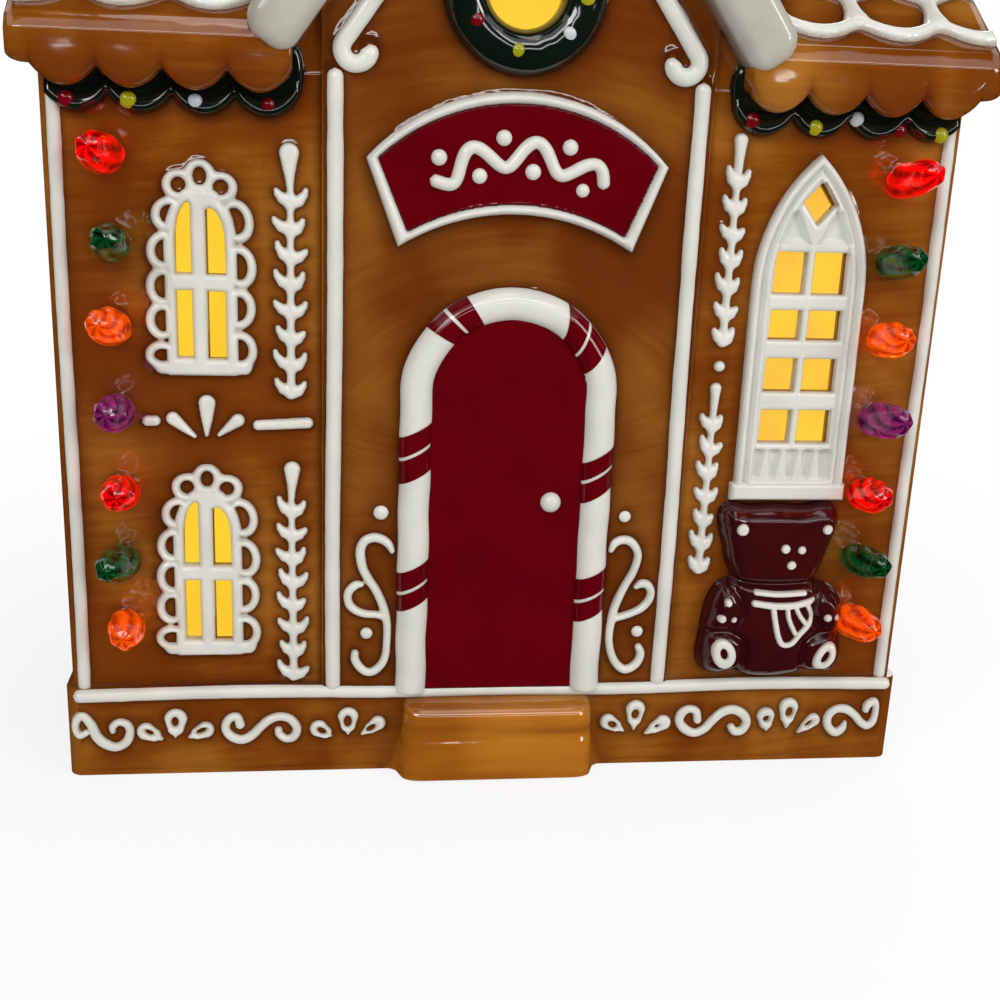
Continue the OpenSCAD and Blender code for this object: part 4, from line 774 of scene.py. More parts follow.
def tall_height(f, x, z):
    """Two mouldings with a groove between, a field of glazing bars, and a toothed foot."""
    rim = outline.field(x, z)
    groove = 1.3 * np.exp(-((rim - 2.25) / 0.5) ** 2)
    moulding = pillow(rim, 1.1, 2.7) - groove - 0.55 * np.clip((rim - 3.6) / 0.8, 0, 1)
    bars = pillow(-panes.field(x, z) + 0.05, 1.3, 0.9) + 1.05
    h = np.where(rim > 4.0, np.minimum(moulding, bars), moulding)
    h = h - 1.6 * np.clip(blind.field(x, z) / 1.4 + 0.25, 0, 1) ** 0.6
    scoop = np.clip(recess.field(x, z) / 0.7 + 0.3, 0, 1)
    tooth = np.clip(teeth.field(x, z) / 0.8 + 0.4, 0, 1)
    h = h - 1.35 * scoop * tooth ** 0.8 - 0.3 * scoop
    return np.maximum(h, pillow(sill.field(x, z), 1.0, 2.9)) + 0.05 * wander(x * 2, z * 2)


relief("tall_window_icing", (outline | sill) - panes.grown(-0.1), tall_height, 0.25, on_front(0), WHITE,
       ["tall_window"], deep=(panes, PANE_DEPTH))

# Sign

def arc_over(half, foot, rise):
    """A shallow arc over a span."""
    r = (half * half + rise * rise) / (2 * rise)
    a = asin(half / r)
    return [(r * sin(t), foot + rise - r + r * cos(t)) for t in np.linspace(-a, a, 22)]


sign_outer = polygon(arc_over(32.2, 142.8, 14.3) + arc_over(25.4, 124.7, 7.4)[::-1])
sign_inner = polygon(arc_over(29.4, 142.9, 11.5) + arc_over(23.3, 128.4, 6.2)[::-1]).grown(0.25)
stands(sign_outer)
relief("sign_border_icing", sign_outer.grown(0.2) - sign_inner, iced(1.4, 3.3, 0.12, 2), 0.25,
       on_front(BAY_OUT), WHITE, ["sign_border"])
relief("sign_field", sign_inner.grown(0.3), panel(1.85, 0.35, 0.06), 0.4, on_front(BAY_OUT), MAROON,
       ["sign_panel"])
SIGN_MID, SIGN_Z, SIGN_OUT = 30.9, 113.7, BAY_OUT + 1.8


def on_sign(r, t):
    return r * sin(t), SIGN_Z + r * cos(t)


wave = [on_sign(SIGN_MID + 2.7 * sin(t * 15), t) for t in np.linspace(radians(-37), radians(37), 110)]
dots = [on_sign(SIGN_MID - 3.4 * sin(t * 15), t) for t in (radians(a) for a in (-30, -18, -6, 6, 18, 30))]
piping("sign_wave", [([wave], 2.7, 1.7, SIGN_OUT, 0.22, 3.0)], ["sign_ornament"])
dabs("sign_dots", [(x, z, 0, 1) for x, z in dots], 1.55, 0.95, SIGN_OUT, WHITE)

# Door, cane and step

ARCH_Z, CANE_R, CANE_W = 92.0, 24.4, 7.3
CANE_MID, DOOR = CANE_R - CANE_W / 2, CANE_R - CANE_W


def arch(r, foot):
    return polygon([(-r, foot)] + arc(0, ARCH_Z, r, 180, 0, 40) + [(r, foot)])


stands(arch(CANE_R, PLINTH - 1.5))
relief("door_glaze", arch(DOOR + 0.6, PLINTH - 0.4), panel(1.1, 0.4, 0.05), 0.5, on_front(BAY_OUT), MAROON,
       ["door_panel"])


def cane_patch(s0, s1, lean, rise):
    """Part of the cane between two places along its middle line, each end slanting across its width."""
    straight, across, n = ARCH_Z - PLINTH, 17, max(3, int((s1 - s0) / 0.9))
    rows = []
    for i in range(n + 1):
        for a in np.linspace(0, pi, across):
            offset = cos(a) * CANE_W / 2
            s = s0 + (s1 - s0) * i / n + lean * offset
            r, h = CANE_MID + offset * (1 + rise * 0.12), sin(a) * CANE_W / 2 * 1.02 + rise * sin(a) ** 0.5
            end = straight + pi * CANE_MID
            if s < straight:
                x, z = -r, PLINTH + max(s, -0.8)
            elif s < end:
                t = (s - straight) / CANE_MID
                x, z = -r * cos(t), ARCH_Z + r * sin(t)
            else:
                x, z = r, ARCH_Z - min(s - end, straight + 0.8)
            rows.append((x + 0.12 * sin(s * 0.4), FRONT - BAY_OUT - h + 0.05, z))
    return rows, n + 1, across


def cane(name, spans, finish, nodes, rise=0.0):
    points, faces = [], []
    for span in spans:
        rows, count, across = cane_patch(*span, rise)
        faces += list(grid_faces(count, across)[:, ::-1] + len(points))
        points += rows
    return piece(name, points, faces, finish, nodes, {"rim": np.full(len(points), DEEP_RIM)})


cane("cane_white", [(-0.8, 2 * (ARCH_Z - PLINTH) + pi * CANE_MID + 0.8, 0)], WHITE, ["cane_surround"])

# Each stripe: its lower end, its middle and its upper end along the cane, and its slant
STRIPES = [(21.0, 25.4, 30.4, -0.5), (51.7, 57.4, 62.5, -0.52), (84.9, 89.6, 94.3, -0.18),
           (115.3, 121.0, 126.5, -0.55), (148.1, 152.7, 157.7, -0.6), (176.7, 182.2, 187.3, -0.46)]
halves = [span for a, mid, b, lean in STRIPES for span in ((a, mid - 0.4, lean), (mid + 0.4, b, lean))]
cane("cane_red", halves, MAROON, ["cane_stripes"], 0.16)
dabs("door_knob_dab", [(10.4, 67.6, 0, 1)], 2.15, 0.9, BAY_OUT + 1.1, WHITE, ["door_knob"])


def step_block():
    """The door step: a tread that falls to a round nose, a full riser, and sides that flare out."""
    half, top, out = 23.2, 19.2, 8.0
    profile = [(0.9, top), (-1.2, 19.15), (-3.2, 18.9), (-4.8, 18.5)] + arc(-4.9, 15.8, 2.65, 86, 186, 10)
    profile += smooth([(-7.4, 14.4), (-6.7, 12.6), (-6.9, 11.0), (-7.7, 9.0), (-8.0, 5.5), (-7.9, 2.6),
                       (-7.2, 0.3)], 4)
    profile += [(0.9, 0.2)]
    end = smooth([(-28.6, 0.0), (-26.0, 0.4), (-24.1, 1.7), (-half, 4.0), (-22.2, 6.4), (-20.0, 7.7),
                  (-17.0, out)], 5)
    plan = end + [(x, out) for x in np.linspace(-15, 15, 16)] + [(-x, d) for x, d in end[::-1]]
    rows = []
    for x, depth in plan:
        flare = max(abs(x) - half, 0.0)
        for y, z in profile:
            foot = max(1 - z / 15.0, 0.0) ** 1.6
            wide = min(abs(x), half) - 0.9 * z / top + flare * foot
            rows.append((wide * (1 if x > 0 else -1), FRONT - PLINTH_OUT + (y if y > 0 else y * depth / out),
                         z - 2.4 * (1 - depth / out) ** 1.4 * z / top))
    rows, count, across = np.array(rows), len(plan), len(profile)
    faces = list(grid_faces(count, across)) + [np.arange(across), np.arange(across) + (count - 1) * across]
    # Painted shade: darker where the step meets the plinth, and a dark line along its crease that grows
    # stronger to the right.
    before = np.maximum(FRONT - PLINTH_OUT - rows[:, 1], 0)
    crease_shade = np.exp(-((rows[:, 2] - 12.4) / 0.9) ** 2) * np.clip(rows[:, 0] / 20 + 0.3, 0, 1)
    return piece("door_step_glaze", rows, faces, AMBER, ["door_step"],
                 {"pool_and_shade": np.clip(np.exp(-before / 1.1) * 0.8 + 0.5 * crease_shade, 0, 1),
                  "field": np.full(len(rows), 1.0), "across": rows[:, 2], "along": rows[:, 0]})


outward(step_block(), crease=0.9)

# Twist bulbs

BULB_Z = [142.4, 124.5, 107.1, 88.5, 70.7, 54.3, 38.8]
BULB_ORDER = ["red", "green", "orange", "purple", "red", "green", "orange"]
BULB_X, RISE = 85.3, 3.0


def fold(phase):
    """A wave with straight sides, 0 in its grooves and 1 on its ridges."""
    t = phase / (2 * pi)
    return 1 - 2 * np.abs(t - np.floor(t) - 0.5)


def bulb(side, index):
    """A twist of clear plastic: six sharp flutes turn round it, from its peg to its blunt tip."""
    around, rings, length, widest, flutes = 84, 40, 17.0, 4.15, 6
    u = np.linspace(0, 1, rings)[:, None]
    body = np.interp(u, [0, 0.05, 0.14, 0.28, 0.42, 0.58, 0.74, 0.88, 0.96, 1],
                     [0.66, 0.84, 0.97, 1, 1, 0.95, 0.85, 0.68, 0.46, 0.1])
    grid = np.linspace(0, 2 * pi, around, endpoint=False)[None, :]
    a = grid + side * (1.5 * u + 0.25 * np.sin(u * 5 + index)) + index * 0.7
    groove = 1 - fold(flutes * grid) ** 1.25 + 0 * u
    depth = 0.05 * np.interp(u, [0, 0.08, 0.2, 1], [0.1, 0.5, 1, 2.2])
    lumps = 1 + 0.035 * np.sin(2 * a + index * 1.7) + 0.02 * np.sin(3 * a + 9 * u)
    r = widest * body * (1 - depth * groove) * lumps
    lean = 0.09 * sin(index * 2.4 + side)
    x = side * BULB_X + r * np.cos(a) + u * length * lean
    z = BULB_Z[index] + r * np.sin(a) + RISE * (u - 0.4)
    y = FRONT - u * (length - 0.2) + 0 * a
    points = np.stack([x, y, z], -1).reshape(-1, 3)
    n = len(points)
    top = [side * BULB_X + length * lean, FRONT - length + 0.05, BULB_Z[index] + RISE * 0.6]
    points = np.vstack([points, top, [side * BULB_X, FRONT + 0.3, BULB_Z[index] - RISE * 0.4]])
    tip = [(n, (rings - 1) * around + i, (rings - 1) * around + (i + 1) % around) for i in range(around)]
    foot = [(n + 1, (i + 1) % around, i) for i in range(around)]
    name = "bulb_%s_%d" % ("left" if side < 0 else "right", index + 1)
    faces = list(grid_faces(rings, around, True)) + tip + foot
    outward(piece(name + "_twist", points, faces, BULBS[BULB_ORDER[index]], [name],
                  {"groove": np.append(groove.ravel(), [0.6, 0.5])}), crease=0.32)


for side in (-1, 1):
    for index in range(len(BULB_Z)):
        bulb(side, index)
        stands(disc(side * BULB_X, BULB_Z[index], 2.6))

# Piped leaf branches and the motif between the lace windows


def leaf(x, z, dx, dz):
    """One leaf, from its stem out and up to its tip."""
    return line([(x, z - 1.1), (x + dx * 0.55, z - 0.6), (x + dx * 0.9, z + dz * 0.45), (x + dx, z + dz)],
                [2.6, 2.5, 1.8, 1.3])


def branch(x0, foot, height, count, reach, lean, jitter=0):
    """A stem whose leaf pairs point up; every leaf is a little different."""
    parts = [line([(x0, foot + 0.6), (x0 + lean, foot + height)], [2.0, 1.5])]
    for k in range(count):
        z, x = foot + height / count * (k + 0.24), x0 + lean * k / count
        left, left_up = 0.88 + 0.10 * sin(k * 2.3 + jitter), 1.4 + 0.5 * sin(k * 1.7 + jitter)
        right, right_up = 0.83 + 0.10 * sin(k * 2.9 + jitter), 1.2 + 0.6 * sin(k * 2.1 - jitter)
        parts += [leaf(x, z + 0.4, -reach * left, left_up), leaf(x, z - 0.1, reach * right, right_up)]
    return parts


def drop_shape(x, z, lean, length, width):
    """A teardrop whose round end points along its lean."""
    dx, dz, stop = sin(lean), cos(lean), length - width / 2
    return line([(x, z), (x + dx * length * 0.4, z + dz * length * 0.4), (x + dx * stop, z + dz * stop)],
                [1.1, width * 0.7, width])


leaf_parts = (
    branch(-48.2, 91.6, 46.8, 8, 3.5, 0.1) + [drop_shape(-48.3, 136.6, 0.0, 8.7, 4.4)]
    + branch(-48, 24.2, 45.6, 8, 3.4, -0.3, 2) + [drop_shape(-48.2, 68.4, 0.02, 8.0, 3.8)]
    + branch(48.2, 104.8, 40.5, 7, 2.7, 0.2, 4) + [line([(48.4, 143), (48.5, 149.0)], [1.6, 3.2])]
    + branch(47.2, 50.2, 40.4, 7, 2.6, 0.3, 6)
    + [drop_shape(47.6, 88.6, 0.0, 7.0, 2.8), disc(48.0, 99.3, 1.35)]
    + [drop_shape(-66.6, 82.4, 0.03, 9.0, 3.9), drop_shape(-69.2, 82.0, -0.86, 7.6, 3.2)]
    + [drop_shape(-63.9, 82.4, 0.9, 6.8, 3.1)]
    + [line([(-79.2, 85.4), (-77.6, 85.4)], 2.5), line([(-55.4, 84.6), (-44.6, 85.2)], [2.5, 2.6])])
leaves = melt(leaf_parts, 3.2)
stands(leaves)
relief("leaf_icing", leaves, iced(1.1, 1.6, 0.12, 4), 0.2, on_front(0), WHITE, ["piped_leaves"])

# Scrolls beside the door and on the plinth: places along each line, with its width there

DOOR_SCROLLS = [
    [(-25.6, 55.7, 1.3), (-26.5, 57.4, 1.9), (-28.0, 58.5, 2.1), (-29.8, 58.9, 2.2), (-31.7, 58.2, 2.2),
     (-32.7, 56.3, 2.2), (-32.7, 53.9, 2.2), (-32.1, 51.2, 2.1), (-30.8, 48.7, 2.0), (-29.3, 46.3, 2.0),
     (-28.1, 43.8, 2.0), (-27.2, 41.3, 2.0), (-26.6, 38.5, 1.9), (-26.4, 36.0, 1.8), (-26.5, 32.8, 1.8),
     (-26.7, 30.0, 1.8), (-27.6, 27.6, 1.9), (-29.4, 25.9, 2.0), (-31.1, 25.7, 2.0), (-32.7, 26.9, 2.0),
     (-33.8, 28.8, 2.0), (-33.8, 30.4, 1.7)],
    [(-32.6, 47.5, 1.3), (-33.8, 47.4, 2.0), (-35.2, 46.0, 2.0), (-35.6, 44.2, 1.9), (-35.0, 42.3, 2.0),
     (-33.5, 41.0, 1.9), (-31.6, 40.3, 1.8), (-29.5, 40.1, 1.7), (-27.7, 39.7, 1.5)],
    [(25.4, 55.7, 1.3), (26.2, 57.4, 2.0), (27.7, 58.2, 2.1), (29.5, 58.0, 2.1), (31.0, 56.7, 2.0),
     (31.9, 54.6, 1.9), (31.6, 52.1, 1.9), (30.7, 49.6, 1.9), (29.4, 47.1, 1.9), (28.2, 44.3, 2.0),
     (27.2, 41.4, 2.0), (26.7, 38.6, 2.0), (26.4, 35.7, 1.9), (26.4, 32.8, 1.8), (27.1, 29.6, 1.9),
     (28.5, 26.9, 2.0), (30.4, 25.4, 2.1), (32.3, 25.9, 2.1), (33.8, 27.5, 2.1), (34.3, 29.6, 2.0),
     (33.6, 31.2, 1.7)],
    [(32.0, 46.5, 1.2), (33.2, 47.3, 2.0), (34.7, 47.0, 2.0), (35.7, 45.2, 1.9), (35.2, 43.0, 2.0),
     (33.6, 41.1, 2.0), (31.6, 40.0, 1.8), (29.5, 39.2, 1.8), (28.0, 38.7, 1.5)]]
for label, lines in (("left", DOOR_SCROLLS[:2]), ("right", DOOR_SCROLLS[2:])):
    shape = melt([stroke(points) for points in lines], 3.0).grown(0.1)
    stands(shape)
    relief("door_scroll_icing_" + label, shape, iced(1.1, 1.6, 0.1, 3), 0.2,
           on_front(BAY_OUT), WHITE, ["door_scrolls"])
spots = [(-28.2, 64.8, 0, 1.1), (-31.2, 35.3, 0, 0.95), (28.2, 63.9, 0, 0.95), (33.1, 35.1, 0, 0.92)]
dabs("door_scroll_dots", spots, 1.45, 0.8, BAY_OUT, WHITE)
for x, z, h, r in spots:
    stands(disc(x, z, 1.3))
PLINTH_SCROLLS = [
    [(-95.5, 11.3, 1.4), (-97.1, 10.6, 1.6), (-98.0, 12.4, 1.5), (-97.5, 14.7, 1.9), (-96.1, 15.5, 1.9),
     (-94.4, 13.3, 2.1), (-93.3, 10.3, 2.3), (-91.4, 8.3, 2.3), (-88.9, 7.4, 2.0), (-86.6, 8.7, 2.1),
     (-85.7, 11.2, 1.9), (-86.3, 13.2, 1.8), (-88.1, 13.8, 1.6), (-89.5, 12.8, 1.6), (-89.6, 11.6, 1.3)],
    [(-60.5, 12.6, 2.1), (-61.2, 14.6, 1.9), (-63.0, 14.1, 1.9), (-63.9, 11.9, 1.9), (-62.8, 9.8, 2.1),
     (-60.4, 8.7, 2.1), (-58.0, 9.6, 2.1), (-55.9, 11.7, 2.0), (-53.8, 13.6, 2.0), (-51.2, 14.5, 1.9),
     (-48.7, 13.7, 2.0), (-47.3, 11.4, 2.0), (-48.1, 9.2, 2.0), (-49.9, 8.8, 1.8), (-51.4, 10.0, 1.8),
     (-51.6, 11.0, 1.7)],
    [(49.8, 11.6, 1.9), (49.3, 13.9, 1.9), (47.4, 14.6, 1.9), (45.7, 13.5, 2.3), (45.3, 11.3, 2.1),
     (46.7, 9.3, 2.3), (49.3, 8.1, 2.1), (51.8, 9.2, 2.1), (53.7, 11.5, 2.1), (56.0, 13.6, 2.3),
     (58.6, 14.2, 2.3), (61.3, 12.8, 2.3), (62.3, 10.6, 2.1), (61.3, 8.6, 2.1), (59.5, 8.3, 2.0),
     (58.5, 9.5, 1.7)],
    [(87.6, 10.1, 1.0), (87.0, 8.5, 1.9), (85.3, 7.5, 2.1), (83.4, 9.2, 2.0), (83.1, 11.9, 2.0),
     (84.7, 13.7, 2.0), (87.3, 13.8, 2.2), (89.7, 12.3, 2.0), (91.7, 10.1, 2.0), (93.5, 9.2, 2.0),
     (94.9, 10.5, 1.8), (95.3, 13.5, 1.5), (94.6, 15.7, 1.9), (93.0, 14.9, 2.0), (92.6, 13.5, 1.5)]]

# Each looped leaf: its point, its round end, its width, and the middle and radii of the hole in it
PETALS = [
    (-78.1, 9.1, -84.0, 12.3, 4.5, -81.3, 11.1, 0.9, 0.5),
    (-75.4, 9.4, -75.1, 17.0, 5.5, -75.4, 13.6, 1.1, 0.7),
    (-72.6, 9.5, -66.6, 12.3, 4.2, -69.4, 11.3, 1.1, 0.5),
    (-39.0, 9.1, -44.0, 12.4, 4.5, -41.5, 10.7, 1.0, 0.6),
    (-35.3, 9.3, -35.3, 16.7, 5.1, -35.4, 13.0, 1.3, 0.8),
    (-32.4, 9.4, -26.7, 13.5, 3.8, -29.9, 11.2, 1.1, 0.6),
    (31.8, 8.9, 25.7, 12.7, 4.2, 28.6, 10.8, 1.0, 0.7), (33.9, 9.1, 34.2, 17.2, 5.0, 34.1, 13.5, 1.1, 0.8),
    (36.6, 8.1, 42.9, 12.2, 4.1, 39.7, 10.2, 0.4, 0.3), (67.5, 8.1, 66.8, 14.6, 4.7, 67.2, 11.6, 0.7, 0.7),
    (72.5, 8.7, 72.8, 17.1, 5.0, 72.9, 13.3, 1.2, 0.8), (75.4, 7.5, 80.7, 12.2, 3.7, 78.1, 10.1, 0.8, 0.4)]


def petal(x0, z0, x1, z1, width, hole_x, hole_z, hole_long, hole_wide):
    """A drop of icing from its point to its round end, with a small hole left in it."""
    size = hypot(x1 - x0, z1 - z0)
    dx, dz = (x1 - x0) / size, (z1 - z0) / size
    at = [(x0 + dx * s, z0 + dz * s) for s in (0.4, (size - width / 2) * 0.55, size - width / 2)]
    hole = oval(hole_x, hole_z, hole_long, hole_wide, np.arctan2(dz, dx))
    return line(at, [0.8, width * 0.74, width]) - hole


marks = all_of([stroke(points).grown(0.15) for points in PLINTH_SCROLLS] + [petal(*p) for p in PETALS])
stands(marks)
relief("plinth_scroll_icing", marks, iced(1.0, 1.5, 0.1, 3), 0.22,
       on_front(PLINTH_OUT), WHITE, ["plinth_scrolls"])

# Corner, base and bay piping

HOOK_X, HOOK_Z, HOOK_R, GABLE_LINE_TOP = 34.63, 164.3, 2.9, 217.96
hook = [(0.0, GABLE_LINE_TOP)] + arc(HOOK_X, HOOK_Z, HOOK_R, 35.5, -200, 22)
posts = [smooth([(s * 38.9, PLINTH - 1.0), (s * 39.1, 60), (s * 38.7, 110), (s * 38.8, 160.5)], 10)
         for s in (-1, 1)]
gable_line = mirrored(hook)[::-1] + hook[1:]
piping("bay_icing", [(posts, 3.5, 1.75, BAY_OUT, 0.16, 7.0), ([gable_line], 3.9, 1.9, BAY_OUT, 0.12, 8.0)],
       ["bay_piping"])
base = smooth([(-98.2, 20.3), (-60, 20.9), (-25, 20.4), (0, 20.6), (30, 20.3), (65, 21.0), (98.2, 20.4)], 12)
piping("base_icing", [([base], 3.1, 1.7, PLINTH_OUT, 0.2, 9.0)], ["base_piping"])
corners = [smooth([(s * 95.7, 21.0), (s * 95.5, 60), (s * 95.8, 110), (s * 95.6, 154.5)], 10)
           for s in (-1, 1)]
behind = Matrix.Translation((0, 2 * MID * MM, 0)) @ Matrix.Rotation(pi, 4, "Z")
piping("corner_icing", [(corners, 2.9, 1.5, 0, 0.2, 11.0), (corners, 2.9, 1.5, 0, 0.2, 12.0, behind)],
       ["corner_piping"])
runs = [(p, 3.3, 3) for p in posts] + [(gable_line, 3.9, 1), (base, 2.9, 3)] + [(p, 2.6, 3) for p in corners]
for points, width, step in runs:
    stands(line(points[::step] + points[-1:], width))

# Garlands, wreath and berries

GARLAND_START, GARLAND_END, GARLAND_LOBES = 46.4, 97.2, 4
GARLAND_LOBE, GARLAND_FOOT, GARLAND_TOP, GARLAND_SAG = 12.7, 153.4, 160.5, 3.6


def garland_shape():
    """A band whose foot follows the eaves' lobes, and whose inner end rises to a round tip."""
    x0, x1 = GARLAND_START, GARLAND_END
    low = [(x0 + GARLAND_LOBE * (k + t), GARLAND_FOOT - GARLAND_SAG * sin(pi * t) ** 0.75)
           for k in range(GARLAND_LOBES) for t in np.linspace(0, 1, 12)[:-1]]
    tip = smooth([(x0 + 3.6, GARLAND_TOP), (x0 + 3.0, 163.2), (x0 + 0.9, 164.8), (x0 - 0.9, 163.4),
                  (x0 - 1.6, 159.4), (x0 - 1.0, 155.4)], 4)
    return polygon(tip + low + [(x1, GARLAND_FOOT), (x1, GARLAND_TOP)])


def swag(f, x, z):
    """The band's height: it swells up from its foot, and falls back above each sagging lobe."""
    lobe = np.abs(np.sin(pi * (np.abs(x) - GARLAND_START) / GARLAND_LOBE)) ** 0.75
    back = np.clip(z - GARLAND_FOOT + GARLAND_SAG * lobe - 1.3, 0, 3.0)
    return pillow(f, 1.6, 3.2) - 0.2 * back - 0.06 * back ** 2 + 0.05 * wander(x * 2, z * 2)


for label, shape in (("right", garland_shape()), ("left", garland_shape().mirrored())):
    stands(shape)
    relief("garland_" + label + "_glaze", shape, swag, 0.3, on_front(0), PINE, ["garland_" + label])

# Berries by tone: places along the garlands, and angles round the wreath
GARLAND = [[(-92.6, 152.4), (-52.4, 152.6), (49.9, 153.2), (83.1, 152.2)],
           [(-80.4, 152.6), (64.0, 152.2), (92.5, 151.6)], [(-67.1, 152.8), (73.1, 154.3)]]
WREATH_Z, WREATH_MID, WREATH_TUBE, WREATH_R = 177.5, 12.6, 4.7, 17.3
WREATH = [[213, 33, 122], [262, 352, 80], [316, 167]]


def arc_places(z0, r, turns):
    """Places round a circle on the middle line, at angles in degrees."""
    return [(r * cos(radians(a)), z0 + r * sin(radians(a))) for a in turns]


for (tone, finish), spots, turns in zip(BERRIES.items(), GARLAND, WREATH):
    dabs("garland_berries_" + tone, [(x, z, 2.4, 1) for x, z in spots], 1.6, 0.7, 0, finish,
         ["garland_berries"], len(spots))
    spots = [(x, z, 4.0, 1) for x, z in arc_places(WREATH_Z, 12.3, turns)]
    dabs("wreath_berries_" + tone, spots, 1.65, 0.7, BAY_OUT, finish, ["wreath_berries"], 8)


def tube(f, x, z):
    """The wreath's height: round all the way over."""
    return np.sqrt(np.maximum(WREATH_TUBE ** 2 - (WREATH_TUBE - f) ** 2, 0)) + 0.1 * wander(x * 3, z * 3)


box = (-WREATH_R - 0.1, WREATH_R + 0.1, WREATH_Z - WREATH_R - 0.1, WREATH_Z + WREATH_R + 0.1)
ring = Shape(lambda x, z: WREATH_TUBE - np.abs(np.hypot(x, z - WREATH_Z) - WREATH_MID), box)
stands(disc(0, WREATH_Z, WREATH_R))
relief("wreath_glaze", ring, tube, 0.25, on_front(BAY_OUT), PINE, ["wreath"],
       deep=(disc(0, WREATH_Z, WREATH_MID - WREATH_TUBE), 2.6))

# Bear

# The bear's outline, then its rounded forms as middle, two radii and rise, then its creases with their depth
BEAR = [(64.5, 67.2), (57.6, 66.9), (53.6, 67.6), (50.9, 65.9), (50.6, 62.3), (51.9, 57.6), (53.2, 52.6),
        (54.4, 49.4), (51.6, 47.0),
        (49.6, 43.4), (48.7, 38.4), (48.2, 33.6), (47.8, 28.8), (49.4, 25.2), (53.0, 23.9), (57.4, 24.4),
        (61.8, 23.2), (67.6, 23.0),
        (73.4, 23.8), (77.8, 24.2), (81.2, 24.0), (83.8, 26.6), (84.2, 31.0), (83.4, 35.2), (83.5, 40.4),
        (82.0, 44.6), (78.6, 47.2),
        (76.2, 48.6), (77.4, 53.2), (78.9, 58.2), (79.9, 62.8), (79.2, 66.0), (76.2, 67.6), (71.0, 66.9)]
FORMS = [(65.2, 58.2, 12, 7.5, 2.4), (66, 36.5, 11.5, 10.5, 2.9), (52.6, 30.0, 4.6, 4.8, 2.2),
         (79.4, 29.6, 4.6, 4.8, 2.2), (52.4, 41.4, 3.8, 4.4, 1.5), (79.6, 41.6, 3.8, 4.4, 1.5),
         (53.4, 63.8, 3.0, 2.8, 1.0), (77.0, 63.9, 3.0, 2.8, 1.0)]
CREASES = [([(56.6, 23.6), (58.9, 28.0), (58.4, 33.6), (54.2, 36.0), (48.9, 35.6)], 1.5),
           ([(75.6, 23.4), (73.2, 28.0), (73.8, 33.2), (78.0, 35.6), (83.6, 35.4)], 1.5),
           ([(54.6, 47.6), (57.0, 44.4), (57.4, 40.4), (55.2, 37.2)], 1.1),
           ([(77.4, 47.4), (75.2, 44.0), (75.0, 40.4), (77.0, 37.0)], 1.3),
           ([(53.6, 49.3), (60, 48.0), (71, 48.0), (77.0, 48.9)], 1.9)]
bear_outline = polygon(closed(BEAR))
creases = [(line(smooth(points, 4), 0.01), deep) for points, deep in CREASES]
stands(bear_outline)


def bear_height(x, z):
    """Soft forms of head, belly, arms and feet inside one outline, with creases where they meet."""
    f = bear_outline.field(x, z)
    h = pillow(f, 3.6, 4.6)
    for x0, z0, rx, rz, rise in FORMS:
        h += rise * np.exp(-((x - x0) / rx) ** 2 - ((z - z0) / rz) ** 2) * np.clip(f / 3, 0, 1)
    for crease, deep in creases:
        h -= deep * np.exp(-crease.field(x, z) ** 2)
    return np.maximum(h, 0.2)


relief("bear_glaze", bear_outline, lambda f, x, z: bear_height(x, z), 0.25, on_front(0), COCOA, ["bear"])


def on_bear(x, z, h):
    return np.stack([x, FRONT - bear_height(x, z) - h, z], -1)


# The icing on the bear: dots as middle and radius, lines with their width, and the two rings on its paws
BEAR_DOTS = [(55.4, 62.0, 1.5), (75.9, 62.0, 1.25), (65.8, 57.6, 1.15), (69.9, 57.2, 1.05),
             (67.9, 53.3, 1.15), (53.6, 43.9, 0.95), (52.2, 40.0, 1.05), (55.3, 39.6, 0.8), (78.2, 40.0, 1.0),
             (80.6, 40.0, 0.8)]
BEAR_LINES = [
    ([(60.2, 46.3), (65.5, 45.9), (72.0, 46.1)], 1.4),
    ([(60.0, 43.7), (64.4, 43.2), (69.6, 43.2), (74.4, 44.2)], 1.7),
    ([(64.4, 43.2), (65.0, 39.6), (66.0, 35.8), (67.4, 33.6), (69.6, 33.7), (71.4, 36.0), (73.4, 38.2),
      (74.3, 40.6), (73.0, 43.2)], 1.5),
    ([(67.9, 43.2), (68.4, 40.0), (70.2, 36.4)], 1.3), ([(69.8, 43.2), (71.2, 40.6), (73.0, 38.4)], 1.3)]
rings = [oval(53.4, 31.0, 2.9, 3.9, 0.35) - oval(53.3, 31.3, 0.8, 1.3, 0.35),
         oval(78.4, 30.2, 2.5, 3.9, -0.45) - oval(78.4, 30.2, 0.7, 1.5, -0.45)]
strokes = [line(smooth(points, 5), width) for points, width in BEAR_LINES]
marks = all_of([disc(*dot) for dot in BEAR_DOTS] + strokes + rings)
relief("bear_icing_lines", marks, iced(0.6, 0.75), 0.2, on_bear, WHITE, ["bear_icing"], drop=0.2)

# Barge boards

def unit(v):
    """Rows of a table as lengths of one."""
    return v / np.maximum(np.linalg.norm(v, axis=1), 1e-6)[:, None]


